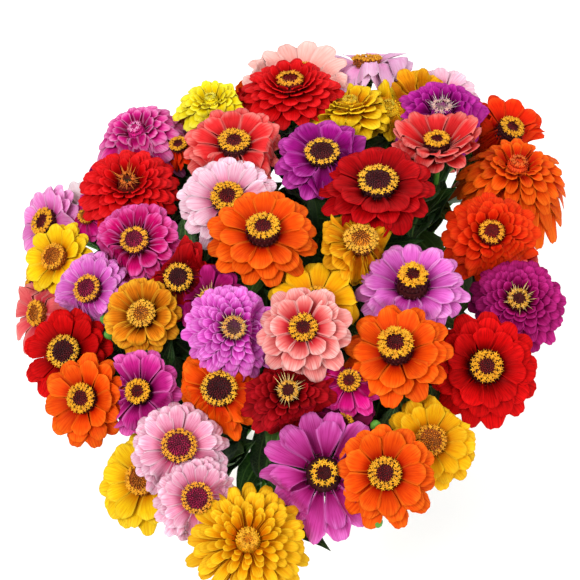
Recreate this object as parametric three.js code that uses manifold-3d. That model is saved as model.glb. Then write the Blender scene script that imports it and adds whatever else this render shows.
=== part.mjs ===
// A domed bunch of mixed zinnias standing in a plain white glazed vase.
// Millimetres, +Z up. The origin is the centre of the vase's foot, where it rests; the bunch's front is -Y.
import * as THREE from "three";
import { mergeVertices } from "three/addons/utils/BufferGeometryUtils.js";
import Module from "manifold-3d";

const wasm = await Module();
wasm.setup();

// ---------- driving dimensions ----------
const MM_PER_PX = 0.8; // a bloom about 100 px across is an 80 mm zinnia
const PICTURE_MIDDLE = 290; // px, both ways
const VIEW_DISTANCE = 1300; // from the eye to the middle of the bunch
const VIEW_ELEVATION = THREE.MathUtils.degToRad(51);
const BUNCH_MIDDLE = new THREE.Vector3(0, -34, 370); // the point seen in the middle of the picture

// The dome through the blooms, in the picture's own axes: its depth falls away upwards and to both sides.
const DOME_NEAR = 110; // depth towards the eye at the lowest blooms
const DOME_LOW = -200; // height in the picture of the dome's nearest line
const DOME_TALL = 420; // half height of the dome's curve
const DOME_DEEP = 0.9; // depth of that curve as a share of its half height
const DOME_WIDE = 275; // radius of the curve from side to side

const PETAL_THICK = 1.2;
const CALYX_DEEP = 9;
const STEM_RADIUS = 2.3;
const GAP = 0.35; // running gap between touching pieces
const LAYER_GAP = 1.4; // between a bent petal and the bloom that lies over it
const ROW_GAP = 1.9; // between a bloom's own bent rows
const LAYER_THICK = 3.6; // room for each bloom in between
const FADE = 12; // how far past a bloom's tips its pressure on the petals below dies away
const FULL_PRESS = 0.8; // share of that stretch after which the pressure is whole
const LEAST_ALONG = 0.5; // blooms that face further apart than this cosine press as if they stood at it
const YIELD = 1.5; // how fast a petal's bend grows from its root to the whole
const TURN_EACH = 2.4; // radians from one bloom's petals to the next one's

const BROW_HEIGHT = 0.85; // where the seed head rounds over, as a share of its height
const BROW_RADIUS = 0.95; // and its radius there, as a share of its foot's
const BASE_SHARE = 0.55; // the base's radius as a share of the head's
const BASE_SLOPE = 3; // the base thins out over this part of a petal's length: a third
const CALYX_SHARE = 0.9; // the calyx's radius as a share of the base's
const CORE_SIDES = 8;
const CORE_TOP = 0.1;
const CORE_MARGIN = 2;
// How far round its own step and how far out each point of a petal's rim lies.
const POINTED_RIM = [[-0.43, 0.76], [0, 1], [0.43, 0.76]];
const BROAD_RIM = [[-0.36, 1], [0.36, 1]];
// Ways to bend a petal clear of what stands round it, tried in turn: how far its tip is pressed down (mm),
// and the share of its length that is left.
const FITS = [[0, 1], [3, 1], [-3, 1], [6, 1], [-6, 1], [10, 1], [3, 0.85], [-8, 0.85], [9, 0.85], [15, 0.85],
  [4, 0.7], [10, 0.7], [-8, 0.7], [18, 0.7], [0, 0.5], [6, 0.5], [14, 0.5], [0, 0.32], [6, 0.32],
  [0, 0.18], [0, 0.04]];

const VASE_HEIGHT = 178;
const VASE_WALL = 4.5;
const VASE_FLOOR = 9;
const VASE_SIDES = 16;
const VASE_STEPS = 7; // from foot to lip
const VASE_FOOT = 50;
const VASE_BELLY = 68;
const VASE_NECK = 43;
const VASE_LIP = 49;
const WATER_LEVEL = 116;
// The vase's outer line: share of the belly's radius, and share of the height.
const VASE_CURVE = [[0.93, 0.17], [1, 0.36], [0.84, 0.62]];
const NECK_HEIGHT = 0.86; // share of the vase's height
const MOUTH = VASE_HEIGHT + 14; // the stems are gathered at this height, just over the lip
const BUNDLE_RADIUS = [30, 22]; // at its top and at its foot
const BUNDLE_SIDES = 10;
const BUNDLE_BROW = 4; // over the mouth, where the bundle starts to narrow
const BUNDLE_CROWN = 14; // over the mouth, where it ends
const BUNDLE_TIP = 0.45; // its radius there, as a share of that at the mouth
const CROWD = 0.92; // how far out in the mouth the outermost stems pass
const STEM_SIDES = 3;
const STEM_BOW = 0.35; // how strongly a stem keeps its direction at both ends, as a share of its length
const STEM_FAN = 2.2; // a stem comes into the mouth from this many times as far out
const TRUNK_RADIUS = 3.2;
const FORK_SHARE = 0.36; // how far down towards the mouth the branches behind meet
const FORK_DROP = 24;
const FORK_FAN = 1.5;
const STUB = 7;
const DOME_REACH = 215; // from the vase's axis to the outermost calyxes
const LEAF_THICK = 1;
// Leaves all round the outer stems: how many, the first one's turn, the share of the way from the stem's
// bend to the mouth, how steeply they rise, and their size.
const LEAF_TIERS = [
  { count: 11, turn: 0.5, along: 0.72, rise: -0.3, length: 64, width: 30, droop: 0.4 },
  { count: 9, turn: 0, along: 0.42, rise: -0.05, length: 60, width: 26, droop: 0.15 },
];
// Leaves that show between the blooms: the pixel that the tip is seen at, how deep it lies (mm), and the
// leaf's width.
const SEEN_LEAVES = [
  [313, 192, 34, 22],
  [424, 240, 40, 24],
  [447, 188, 46, 22],
  [236, 462, 30, 26],
  [331, 551, 34, 20],
];
const LEAF_HOLD = 0.55; // how far down its stem such a leaf grows, from the base to the bend
// A leaf's two stations: share of its length, half width and raised edges as shares of its width.
const LEAF_STATIONS = [[0.3, 0.46, 0.12], [0.68, 0.36, 0.1]];

const MERGE = 1e-4; // points closer than this are one
const ASIDE = new THREE.Vector3(0.31, 0.95, 0.07); // a direction that no rod runs along
const GREEN = 0x1d4a12;
const GLAZE = 0xf4f1ea;
const CLEAR = 0xcfe0e4;
const PETAL_ROUGHNESS = 0.62;
const LEAF_ROUGHNESS = 0.6;
const GLAZE_ROUGHNESS = 0.15;
const CLEAR_ROUGHNESS = 0.05;

const COLOURS = {
  salmon: 0xf0887a,
  coral: 0xe83a4a,
  pale_pink: 0xf2b8d4,
  lilac: 0xc96ad0,
  orchid: 0xc850cc,
  magenta: 0xcf1290,
  violet: 0xa012a8,
  purple: 0x7a0a88,
  plum: 0x8a0c66,
  red: 0xc80c10,
  dark_red: 0x96060a,
  scarlet: 0xe42c08,
  orange: 0xf26406,
  gold: 0xe89a06,
  yellow: 0xf2c408,
  cream: 0xf3e2d8,
};

// A bloom's form. core: radius of the seed head; head: its height over the petals; seat: depth of the base
// under them; step: from row to row; pointed: whether the outermost petals end in a point; rows, from the
// top: count of petals, reach, how fast they rise from the head and how fast they fall again. All but the
// counts are shares of the bloom's radius.
const FORMS = {
  open: { core: 0.3, head: 0.24, seat: 0.3, step: 0.1, pointed: true,
    rows: [[7, 0.92, 0.34, 0.16], [7, 1, 0.22, 0.24]] },
  cone: { core: 0.28, head: 0.42, seat: 0.3, step: 0.1, pointed: true,
    rows: [[7, 0.92, 0.34, 0.16], [7, 1, 0.22, 0.24]] },
  full: { core: 0.23, head: 0.22, seat: 0.34, step: 0.1, pointed: false,
    rows: [[7, 0.6, 0.56, 0.2], [7, 0.84, 0.36, 0.24], [7, 1, 0.22, 0.26]] },
  ball: { core: 0.23, head: 0.2, seat: 0.34, step: 0.1, pointed: false,
    rows: [[7, 0.6, 0.5, 0.3], [7, 0.9, 0.3, 0.5], [7, 1, 0.1, 0.8]] },
  cup: { core: 0.28, head: 0.3, seat: 0.28, step: 0.08, pointed: true,
    rows: [[7, 0.9, 0.8, 0.28], [7, 1, 0.42, 0.3]] },
  part: { core: 0.27, head: 0.24, seat: 0.24, step: 0.1, pointed: false,
    rows: [[7, 1, 0.26, 0.22]] },
};

// Each bloom: name, colour, form, the middle of its seed head in the picture (px), its radius (px), how far
// it leans to the right and upwards from facing the eye (degrees), and how far it is sunk into the bunch
// (mm). A bloom's petals bend beneath those of the blooms listed before it.
const FRONT_BLOOMS = [
  ["yellow_bottom", "yellow", "full", 248, 538, 60, 0, 12, 0],
  ["orange_lower_right", "orange", "open", 385, 473, 51, 0, 4, 0],
  ["pink_lower", "pale_pink", "open", 197, 498, 43, 0, 6, 6],
  ["mauve_front", "lilac", "open", 324, 473, 63, 0, 5, 12],
  ["pink_light", "pale_pink", "open", 179, 445, 49, 0, 18, 7],
  ["orange_left", "orange", "open", 80, 398, 46, -25, 6, 0],
  ["salmon_centre", "salmon", "full", 303, 327, 50, -2, 15, 0],
  ["orange_right", "orange", "cone", 395, 342, 55, -6, 28, 0],
  ["orchid_centre", "orchid", "full", 234, 327, 49, 6, 13, 3],
  ["violet_left", "violet", "cup", 137, 391, 44, -14, 10, 4],
  ["red_right", "red", "open", 487, 366, 56, 10, 6, 3],
  ["deep_red", "dark_red", "full", 288, 390, 48, 0, 13, 8],
  ["orange_lower", "orange", "open", 219, 388, 50, 0, 18, 10],
  ["red_left", "red", "open", 63, 351, 47, -20, 12, 6],
  ["gold_left", "gold", "cup", 141, 313, 40, -16, 18, 4],
  ["lilac_left", "lilac", "open", 86, 288, 42, -28, 20, 0],
  ["plum_right", "plum", "full", 519, 298, 49, 4, 20, 4],
  ["orange_centre", "orange", "cone", 263, 222, 56, 0, 33, 0],
  ["lilac_right", "lilac", "cone", 413, 274, 57, 3, 36, 4],
  ["magenta_left", "magenta", "open", 134, 239, 45, -14, 22, 0],
  ["purple_mid", "purple", "part", 209, 297, 38, -4, 24, 22],
  ["dark_red_left", "dark_red", "open", 178, 277, 46, -5, 12, 4],
  ["scarlet_right", "scarlet", "full", 492, 231, 51, 5, 24, 2],
  ["dark_red_centre", "dark_red", "open", 378, 178, 59, 0, 40, 0],
  ["pale_pink_centre", "pale_pink", "open", 227, 195, 51, -5, 28, 12],
  ["gold_centre", "gold", "cup", 361, 238, 45, 4, 34, 11],
  ["purple_centre", "purple", "open", 322, 149, 50, -5, 40, 5],
  ["coral_top", "coral", "open", 234, 138, 52, -3, 40, 2],
  ["red_full_left", "red", "full", 127, 178, 52, -8, 36, 3],
  ["coral_cup", "coral", "cup", 437, 138, 46, 0, 50, 4],
  ["orange_full_right", "scarlet", "ball", 519, 160, 58, 14, 48, 2],
  ["yellow_left", "yellow", "open", 52, 256, 40, -34, 20, 2],
  ["lilac_edge", "lilac", "open", 41, 221, 42, -46, 22, 4],
  ["yellow_lower_left", "yellow", "open", 140, 478, 50, -26, 12, 11],
  ["yellow_right", "yellow", "open", 431, 440, 47, 6, 8, 12],
  ["purple_top", "violet", "full", 442, 105, 53, 3, 44, 0],
  ["red_top", "red", "full", 290, 78, 52, -4, 50, 0],
  ["yellow_side", "yellow", "full", 350, 98, 49, -2, 58, 4],
  ["scarlet_edge", "scarlet", "open", 513, 126, 45, 26, 36, 10],
  ["yellow_top", "yellow", "full", 210, 96, 38, -14, 46, 0],
  ["magenta_edge", "magenta", "ball", 134, 126, 47, -22, 42, 2],
  ["yellow_back", "yellow", "part", 388, 104, 42, 0, 40, 20],
  ["gold_back", "gold", "part", 418, 97, 43, 0, 36, 26],
  ["salmon_back", "salmon", "part", 300, 72, 57, 0, 48, 20],
  ["lilac_back", "lilac", "part", 367, 57, 48, -4, 75, 4],
  ["pink_back", "pale_pink", "part", 443, 93, 37, 4, 38, 30],
  ["red_behind", "red", "part", 257, 92, 31, -4, 42, 26],
  ["yellow_mid", "yellow", "part", 316, 298, 50, 0, 34, 25],
  ["violet_mid", "violet", "part", 349, 380, 37, -4, 15, 18],
  ["coral_edge", "coral", "part", 34, 313, 42, -48, 6, 6],
  ["magenta_small", "magenta", "part", 86, 215, 28, -14, 28, 12],
  ["cream_edge", "cream", "part", 80, 208, 38, -24, 30, 20],
  ["purple_low", "purple", "part", 343, 422, 34, 0, 18, 28],
  ["scarlet_low", "scarlet", "part", 178, 143, 30, -14, 38, 24],
];

// Behind, out of the picture: three groups, each on one branching stem.
// Each bloom: direction round the vase (degrees, 0 is right, 90 is back), distance out, height over the
// middle of the bunch, radius, and the elevation it faces.
const BACK_BLOOMS = {
  back_left: ["magenta", [[129, 202, -36, 37, 25], [146.5, 192, -24, 37, 25], [122, 238, -80, 37, 22],
    [139.5, 220, -68, 37, 20], [157, 216, -62, 37, 22], [174.5, 214, -54, 37, 25]]],
  back_middle: ["orange", [[111.5, 190, -20, 38, 25], [101, 240, -62, 38, 25], [85, 250, -46, 38, 25],
    [76, 256, -90, 38, 15]]],
  back_right: ["coral", [[64, 254, -44, 38, 25], [46, 256, -38, 38, 25], [52, 254, -92, 37, 15],
    [33, 230, -78, 38, 18], [19, 214, -90, 37, 18], [9, 200, -42, 36, 20]]],
};

// ---------- view, places and frames ----------
const VIEW_RIGHT = new THREE.Vector3(1, 0, 0);
const VIEW_UP = new THREE.Vector3(0, Math.sin(VIEW_ELEVATION), Math.cos(VIEW_ELEVATION));
const VIEW_BACK = new THREE.Vector3(0, -Math.cos(VIEW_ELEVATION), Math.sin(VIEW_ELEVATION));
const EYE = BUNCH_MIDDLE.clone().addScaledVector(VIEW_BACK, VIEW_DISTANCE);
const slope = (degrees) => Math.tan(THREE.MathUtils.degToRad(degrees));
const arc = (radius, along) => radius - Math.sqrt(Math.max(0, radius * radius - along * along));

function depthAt(right, up) {
  return DOME_NEAR - DOME_DEEP * arc(DOME_TALL, up - DOME_LOW) - arc(DOME_WIDE, right);
}

// A point seen at a pixel, lying on the dome or sunk below it.
function seenAt(px, py, sink) {
  const right = (px - PICTURE_MIDDLE) * MM_PER_PX;
  const up = (PICTURE_MIDDLE - py) * MM_PER_PX;
  const depth = depthAt(right, up) - sink;
  return BUNCH_MIDDLE.clone().addScaledVector(VIEW_RIGHT, right).addScaledVector(VIEW_UP, up)
    .sub(EYE).multiplyScalar((VIEW_DISTANCE - depth) / VIEW_DISTANCE).add(EYE);
}

// A bloom's own frame: its axis out of the seed head, the middle of its petals' roots and its radius.
function bloomAt(name, colour, form, middle, axis, radius, order) {
  const turn = new THREE.Quaternion().setFromUnitVectors(new THREE.Vector3(0, 0, 1), axis);
  const spin = new THREE.Quaternion().setFromAxisAngle(new THREE.Vector3(0, 0, 1), order * TURN_EACH);
  turn.multiply(spin);
  const place = new THREE.Matrix4().compose(middle, turn, new THREE.Vector3(1, 1, 1));
  return { name, colour, form, middle, axis, radius, order, turn, place };
}

function frontBloom([name, colour, form, px, py, spread, leanRight, leanUp, sink], order) {
  const head = seenAt(px, py, sink);
  const toEye = EYE.clone().sub(head);
  const radius = (spread * MM_PER_PX * toEye.length()) / VIEW_DISTANCE;
  const axis = toEye.normalize().addScaledVector(VIEW_RIGHT, slope(leanRight))
    .addScaledVector(VIEW_UP, slope(leanUp)).normalize();
  const middle = head.addScaledVector(axis, -FORMS[form].head * radius);
  return bloomAt("zinnia_" + name, colour, form, middle, axis, radius, order);
}

function backBloom(name, colour, [direction, out, height, radius, elevation], order) {
  const round = THREE.MathUtils.degToRad(direction);
  const rise = THREE.MathUtils.degToRad(elevation);
  const middle = new THREE.Vector3(out * Math.cos(round), out * Math.sin(round), BUNCH_MIDDLE.z + height);
  const axis = new THREE.Vector3(
    Math.cos(rise) * Math.cos(round), Math.cos(rise) * Math.sin(round), Math.sin(rise));
  return bloomAt("zinnias_" + name, colour, "part", middle, axis, radius, order);
}

const front = FRONT_BLOOMS.map(frontBloom);
let planted = front.length;
const back = Object.entries(BACK_BLOOMS).map(([name, [colour, places]]) =>
  places.map((place) => backBloom(name, colour, place, planted++)));
const blooms = [...front, ...back.flat()];

// ---------- petals ----------
// Height of a row's petals over the roots' plane, at a share of the way out, for a bloom of radius 1.
function rowHeight(form, row, share) {
  const [, reach, rise, fall] = form.rows[row];
  return -row * form.step + reach * (rise * share - fall * share * share);
}

// Underside of a whole bloom at a distance from its axis, in millimetres over its roots' plane.
function underside(bloom, distance) {
  const form = FORMS[bloom.form];
  const last = form.rows.length - 1;
  const share = THREE.MathUtils.clamp((distance / bloom.radius - form.core) / (1 - form.core), 0, 1);
  const base = THREE.MathUtils.clamp(1 - share * BASE_SLOPE, 0, 1) * form.seat * bloom.radius;
  return rowHeight(form, last, share) * bloom.radius - PETAL_THICK - base;
}

// How far a point of a bloom has to drop along the bloom's axis to lie under the blooms listed before it.
function dropUnder(bloom, point, row) {
  let drop = 0;
  let between = 0;
  for (let i = bloom.order - 1; i >= 0; i -= 1) {
    const over = blooms[i];
    const offset = point.clone().sub(over.middle);
    const height = offset.dot(over.axis);
    const distance = Math.sqrt(Math.max(0, offset.lengthSq() - height * height));
    const reach = over.radius + FADE;
    if (distance > reach || Math.abs(height) > reach) continue;
    const room = underside(over, distance) - LAYER_GAP - row * ROW_GAP - between * LAYER_THICK;
    const press = THREE.MathUtils.smoothstep(reach - distance, 0, FADE * FULL_PRESS);
    const along = Math.max(LEAST_ALONG, bloom.axis.dot(over.axis));
    drop = Math.max(drop, ((height - room) / along) * press);
    if (distance < over.radius && height > room - 2 * LAYER_THICK) between += 1;
  }
  return drop;
}

// ---------- solids ----------
const polar = (angle, out, z) => new THREE.Vector3(out * Math.cos(angle), out * Math.sin(angle), z);
const under = (point, depth) => [point, point.clone().setZ(point.z - depth)];

function meshOf(points, faces) {
  return new THREE.BufferGeometry().setFromPoints(points).setIndex(faces);
}

function solidOf(geometry) {
  const merged = mergeVertices(geometry, MERGE);
  return new wasm.Manifold(new wasm.Mesh({
    numProp: 3,
    vertProperties: new Float32Array(merged.attributes.position.array),
    triVerts: new Uint32Array(merged.index.array),
  }));
}

function geometryOf(solid, matrix = new THREE.Matrix4()) {
  const { vertProperties, triVerts } = solid.getMesh();
  const geometry = new THREE.BufferGeometry();
  geometry.setAttribute("position", new THREE.Float32BufferAttribute(vertProperties, 3));
  geometry.setIndex([...triVerts]);
  return geometry.applyMatrix4(matrix);
}

// A few-sided rod through points, with a radius at each.
function rodSolid(points, radii, sides) {
  const positions = [];
  const faces = [];
  points.forEach((point, i) => {
    const before = points[Math.max(0, i - 1)];
    const after = points[Math.min(points.length - 1, i + 1)];
    const ahead = after.clone().sub(before).normalize();
    const side = new THREE.Vector3().crossVectors(ahead, ASIDE).normalize();
    const other = new THREE.Vector3().crossVectors(ahead, side);
    for (let k = 0; k < sides; k += 1) {
      const angle = (2 * Math.PI * k) / sides;
      positions.push(point.clone().addScaledVector(side, radii[i] * Math.cos(angle))
        .addScaledVector(other, radii[i] * Math.sin(angle)));
    }
  });
  const last = (points.length - 1) * sides;
  for (let k = 0; k < sides; k += 1) {
    const next = (k + 1) % sides;
    for (let i = 0; i < last; i += sides) {
      faces.push(i + k, i + next, i + sides + next, i + k, i + sides + next, i + sides + k);
    }
    if (k > 0 && k < sides - 1) {
      faces.push(0, k + 1, k, last, last + k, last + k + 1);
    }
  }
  return solidOf(meshOf(positions, faces));
}

// ---------- blooms ----------
// A blade's own triangles, for an outline from root to root round one or two or three points of its rim.
const BLADE_FACES = {
  4: [[0, 1, 2], [0, 2, 3]],
  5: [[0, 1, 3], [0, 3, 4], [1, 2, 3]],
};

// A closed blade: the points of its outline, each with its partner on the underside.
function bladeSolid(outline) {
  const faces = [];
  for (const [a, b, c] of BLADE_FACES[outline.length]) {
    faces.push(2 * a, 2 * b, 2 * c, 2 * a + 1, 2 * c + 1, 2 * b + 1);
  }
  outline.forEach((_, i) => {
    const next = (i + 1) % outline.length;
    faces.push(2 * i, 2 * i + 1, 2 * next + 1, 2 * i, 2 * next + 1, 2 * next);
  });
  return solidOf(meshOf(outline.flat(), faces));
}

// One row of a bloom: the points round its roots, and the rim of each petal.
function petalRow(bloom, row) {
  const form = FORMS[bloom.form];
  const [count, reach] = form.rows[row];
  const { radius } = bloom;
  const step = (2 * Math.PI) / count;
  const turn = (row * step) / 2;
  const root = form.core * radius;
  const rim = form.pointed && reach === 1 ? POINTED_RIM : BROAD_RIM;
  const roots = (margin) => Array.from({ length: count }, (_, k) =>
    polar(turn + k * step, root + margin, rowHeight(form, row, 0) * radius + margin));
  // press lowers the tips further, and pull draws them back towards the head.
  const petal = (k, press, pull, margin) => rim.map(([side, share]) => {
    const far = share * pull;
    const height = rowHeight(form, row, far) * radius;
    const point = polar(turn + (k + 0.5 + side) * step, root + (reach * radius - root) * far, height);
    const drop = dropUnder(bloom, point.clone().applyMatrix4(bloom.place), row) * Math.min(1, far * YIELD);
    return polar(turn + (k + 0.5 + side) * step, root + (reach * radius - root) * far + margin,
      height - drop - press * far + margin);
  });
  return { count, roots, petal };
}

// The first way of bending or drawing back a petal that keeps it clear of what stands round it.
function fittedPetal(bloom, { count, roots, petal }, k, obstacles) {
  const ring = roots(GAP);
  const way = FITS.find(([press, pull]) => {
    const edge = [ring[k], ...petal(k, press, pull, GAP), ring[(k + 1) % count]];
    const blade = bladeSolid(edge.map((point) => under(point, PETAL_THICK + 2 * GAP)))
      .transform(bloom.place.elements);
    return obstacles.every((solid) => blade.intersect(solid).isEmpty());
  }) ?? FITS.at(-1);
  return petal(k, ...way, 0);
}

// A bloom without its petals: seed head and base, for the petals of its neighbours to stay clear of.
function coreSolid(bloom) {
  const form = FORMS[bloom.form];
  const { radius } = bloom;
  const root = form.core * radius;
  const foot = rowHeight(form, form.rows.length - 1, 0);
  const heights = [-form.seat, foot, form.head * BROW_HEIGHT, form.head];
  const line = heights.map((height) => new THREE.Vector3(0, 0, height * radius));
  const radii = [BASE_SHARE, 1, BROW_RADIUS, CORE_TOP].map((share) => root * share + CORE_MARGIN);
  return rodSolid(line, radii, CORE_SIDES).transform(bloom.place.elements);
}

// The bloom as one closed skin: seed head, rows of petals in steps below each other, and a flat base.
function bloomSolid(bloom, obstacles) {
  const form = FORMS[bloom.form];
  const { radius } = bloom;
  const points = [];
  const faces = [];
  const add = (point) => points.push(point) - 1;
  const quad = (a, b, c, d) => faces.push(a, b, c, a, c, d);
  const headRing = [];
  let above = null;
  form.rows.forEach((_, row) => {
    const layer = petalRow(bloom, row);
    const { count } = layer;
    const ring = layer.roots(0).map((point) => under(point, PETAL_THICK).map(add));
    for (let k = 0; k < count; k += 1) {
      const rim = fittedPetal(bloom, layer, k, obstacles).map((point) => under(point, PETAL_THICK).map(add));
      const edge = [ring[k], ...rim, ring[(k + 1) % count]];
      for (const [a, b, c] of BLADE_FACES[edge.length]) {
        faces.push(edge[a][0], edge[b][0], edge[c][0], edge[a][1], edge[c][1], edge[b][1]);
      }
      for (let i = 1; i < edge.length; i += 1) {
        quad(edge[i - 1][0], edge[i - 1][1], edge[i][1], edge[i][0]);
      }
    }
    if (row === 0) {
      const brow = form.head * radius * BROW_HEIGHT;
      layer.roots(0).forEach((point) => headRing.push(add(point.multiplyScalar(BROW_RADIUS).setZ(brow))));
    }
    ring.forEach(([top], k) => {
      const next = (k + 1) % count;
      if (row === 0) {
        quad(headRing[k], top, ring[next][0], headRing[next]);
      } else {
        faces.push(above[k], top, above[next], above[next], top, ring[next][0]);
      }
    });
    above = ring.map(([, bottom]) => bottom);
  });
  const count = above.length;
  const top = add(new THREE.Vector3(0, 0, form.head * radius));
  const base = above.map((at) =>
    add(points[at].clone().multiplyScalar(BASE_SHARE).setZ(-form.seat * radius)));
  for (let k = 0; k < count; k += 1) {
    const next = (k + 1) % count;
    faces.push(top, headRing[k], headRing[next]);
    quad(above[k], base[k], base[next], above[next]);
    if (k > 0 && k < count - 1) faces.push(base[0], base[k + 1], base[k]);
  }
  return solidOf(meshOf(points, faces));
}

// ---------- stems and leaves ----------
function calyxPath(bloom, gap) {
  const seat = bloom.middle.clone().addScaledVector(bloom.axis, -FORMS[bloom.form].seat * bloom.radius - gap);
  return [seat, seat.clone().addScaledVector(bloom.axis, -CALYX_DEEP)];
}

// Where a stem from there passes the mouth of the vase.
function gateUnder({ x, y }) {
  const crowd = (BUNDLE_RADIUS[0] * CROWD) / Math.max(DOME_REACH, Math.hypot(x, y));
  return new THREE.Vector3(x * crowd, y * crowd, MOUTH);
}

// From a bloom's base inwards and down to the mouth of the vase, and on into the bundle.
function stemPath(bloom) {
  const [seat, neck] = calyxPath(bloom, GAP);
  const gate = gateUnder(seat);
  const span = neck.distanceTo(gate);
  const curve = new THREE.CubicBezierCurve3(
    neck,
    neck.clone().addScaledVector(bloom.axis, -STEM_BOW * span),
    new THREE.Vector3(gate.x * STEM_FAN, gate.y * STEM_FAN, MOUTH + STEM_BOW * span),
    gate,
  );
  return [seat, neck, curve.getPoint(0.5), gate];
}

// A stem with its flared calyx.
function stemSolid(bloom, path) {
  const calyx = FORMS[bloom.form].core * bloom.radius * BASE_SHARE * CALYX_SHARE;
  return rodSolid(path, path.map((_, i) => (i === 0 ? calyx : STEM_RADIUS)), STEM_SIDES);
}

// The blooms behind share a branching stem: a branch from each to the fork, which ends in a short stub, and
// the trunk from the stub down to the mouth.
function spray(group) {
  const centre = group.reduce((sum, { middle }) => sum.add(middle), new THREE.Vector3());
  const fork = centre.divideScalar(group.length).lerp(new THREE.Vector3(0, 0, MOUTH), FORK_SHARE);
  fork.z -= FORK_DROP;
  const gate = gateUnder(fork.clone().multiplyScalar(FORK_FAN));
  const down = gate.clone().sub(fork).normalize();
  const at = (depth) => fork.clone().addScaledVector(down, depth);
  const branches = group.map((bloom) => stemSolid(bloom, [...calyxPath(bloom, -1), fork]));
  const stub = rodSolid([at(-STUB), at(STUB)], [TRUNK_RADIUS, TRUNK_RADIUS], STEM_SIDES);
  const trunk = rodSolid([at(STUB + GAP), gate], [TRUNK_RADIUS, TRUNK_RADIUS], STEM_SIDES);
  return { branches: [...branches, stub].reduce((whole, part) => whole.add(part)), trunk };
}

// A pointed leaf with a keel, arching out from a stem: two stations between its root and its tip.
function leafSolid({ root, reach, length, width, droop }) {
  const across = new THREE.Vector3(-reach.y, reach.x, 0).normalize();
  const over = new THREE.Vector3().crossVectors(reach, across).normalize();
  const points = [];
  const faces = [];
  const place = (along, side, raise) => {
    const point = root.clone().addScaledVector(reach, along * length).addScaledVector(across, side * width)
      .addScaledVector(over, raise * width);
    point.z -= droop * along * along * length;
    for (const half of [0.5, -0.5]) points.push(point.clone().addScaledVector(over, half * LEAF_THICK));
    return points.length - 2;
  };
  const rootPoint = place(0, 0, 0);
  const [[nearLeft, nearMiddle, nearRight], [farLeft, farMiddle, farRight]] = LEAF_STATIONS.map(
    ([along, half, raise]) => [place(along, -half, raise), place(along, 0, 0), place(along, half, raise)]);
  const tip = place(1, 0, 0);
  const skin = [
    [rootPoint, nearLeft, nearMiddle], [rootPoint, nearMiddle, nearRight],
    [nearLeft, farLeft, farMiddle], [nearLeft, farMiddle, nearMiddle],
    [nearMiddle, farMiddle, farRight], [nearMiddle, farRight, nearRight],
    [farLeft, tip, farMiddle], [farMiddle, tip, farRight],
  ];
  for (const [a, b, c] of skin) faces.push(a, b, c, a + 1, c + 1, b + 1);
  const rim = [rootPoint, nearLeft, farLeft, tip, farRight, nearRight];
  rim.forEach((a, i) => {
    const b = rim[(i + 1) % rim.length];
    faces.push(b, a, b + 1, b + 1, a, a + 1);
  });
  return solidOf(meshOf(points, faces));
}

// Leaves on the outermost stems all round: those of the lower tier hang over the lip, and those of the upper
// tier spread under the blooms.
function tierLeaves(paths) {
  return LEAF_TIERS.flatMap(({ count, turn, along, rise, length, width, droop }) =>
    Array.from({ length: count }, (_, i) => {
      const round = (2 * Math.PI * (i + turn)) / count;
      const heading = new THREE.Vector3(Math.cos(round), Math.sin(round), 0);
      const [, , bend, gate] = paths.reduce((best, path) =>
        (path[2].dot(heading) > best[2].dot(heading) ? path : best));
      const root = bend.clone().lerp(gate, along);
      return { root, reach: heading.setZ(rise).normalize(), length, width, droop };
    }));
}

// Leaves between the blooms, each on the stem that passes nearest to its tip.
function seenLeaves(paths) {
  return SEEN_LEAVES.map(([px, py, sink, width]) => {
    const tip = seenAt(px, py, sink);
    const roots = paths.map(([, neck, bend]) => neck.clone().lerp(bend, LEAF_HOLD));
    const root = roots.reduce((best, at) => (at.distanceTo(tip) < best.distanceTo(tip) ? at : best));
    const reach = tip.clone().sub(root);
    const length = reach.length();
    return { root, reach: reach.normalize(), length, width, droop: 0 };
  });
}

// ---------- vase and water ----------
// The wall's outer line from foot to lip, and the inner line back down.
function vaseOutline() {
  const outer = new THREE.SplineCurve([
    new THREE.Vector2(VASE_FOOT, 3),
    ...VASE_CURVE.map(([out, high]) => new THREE.Vector2(VASE_BELLY * out, VASE_HEIGHT * high)),
    new THREE.Vector2(VASE_NECK, VASE_HEIGHT * NECK_HEIGHT),
    new THREE.Vector2(VASE_LIP, VASE_HEIGHT - 2),
  ]).getPoints(VASE_STEPS);
  const inner = outer.filter(({ y }) => y > VASE_FLOOR && y < VASE_HEIGHT - 4)
    .map(({ x, y }) => new THREE.Vector2(x - VASE_WALL, y)).reverse();
  return { outer, inner };
}

function vaseGeometry() {
  const { outer, inner } = vaseOutline();
  return new THREE.LatheGeometry([
    new THREE.Vector2(0, 0), new THREE.Vector2(VASE_FOOT - 2, 0), ...outer,
    new THREE.Vector2(VASE_LIP - 1, VASE_HEIGHT), new THREE.Vector2(VASE_LIP - VASE_WALL, VASE_HEIGHT - 1),
    ...inner, new THREE.Vector2(inner.at(-1).x - 3, VASE_FLOOR), new THREE.Vector2(0, VASE_FLOOR),
  ], VASE_SIDES).rotateX(Math.PI / 2);
}

const bundleRadius = (z) => THREE.MathUtils.mapLinear(
  z, VASE_FLOOR, VASE_HEIGHT, BUNDLE_RADIUS[1], BUNDLE_RADIUS[0]);

// The water up to the wall's last station under its level, with a plain hole that the bundle stands in.
function waterGeometry() {
  const wet = vaseOutline().inner.filter(({ y }) => y < WATER_LEVEL);
  const side = wet.map(({ x, y }) => new THREE.Vector2(x - 2 * GAP, y)).reverse();
  const bottom = VASE_FLOOR + GAP;
  const hole = (z) => new THREE.Vector2((bundleRadius(z) + GAP) / Math.cos(Math.PI / VASE_SIDES), z);
  return new THREE.LatheGeometry([
    hole(bottom), new THREE.Vector2(side[0].x - 4, bottom), ...side, hole(side.at(-1).y), hole(bottom),
  ], VASE_SIDES).rotateX(Math.PI / 2);
}

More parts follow.
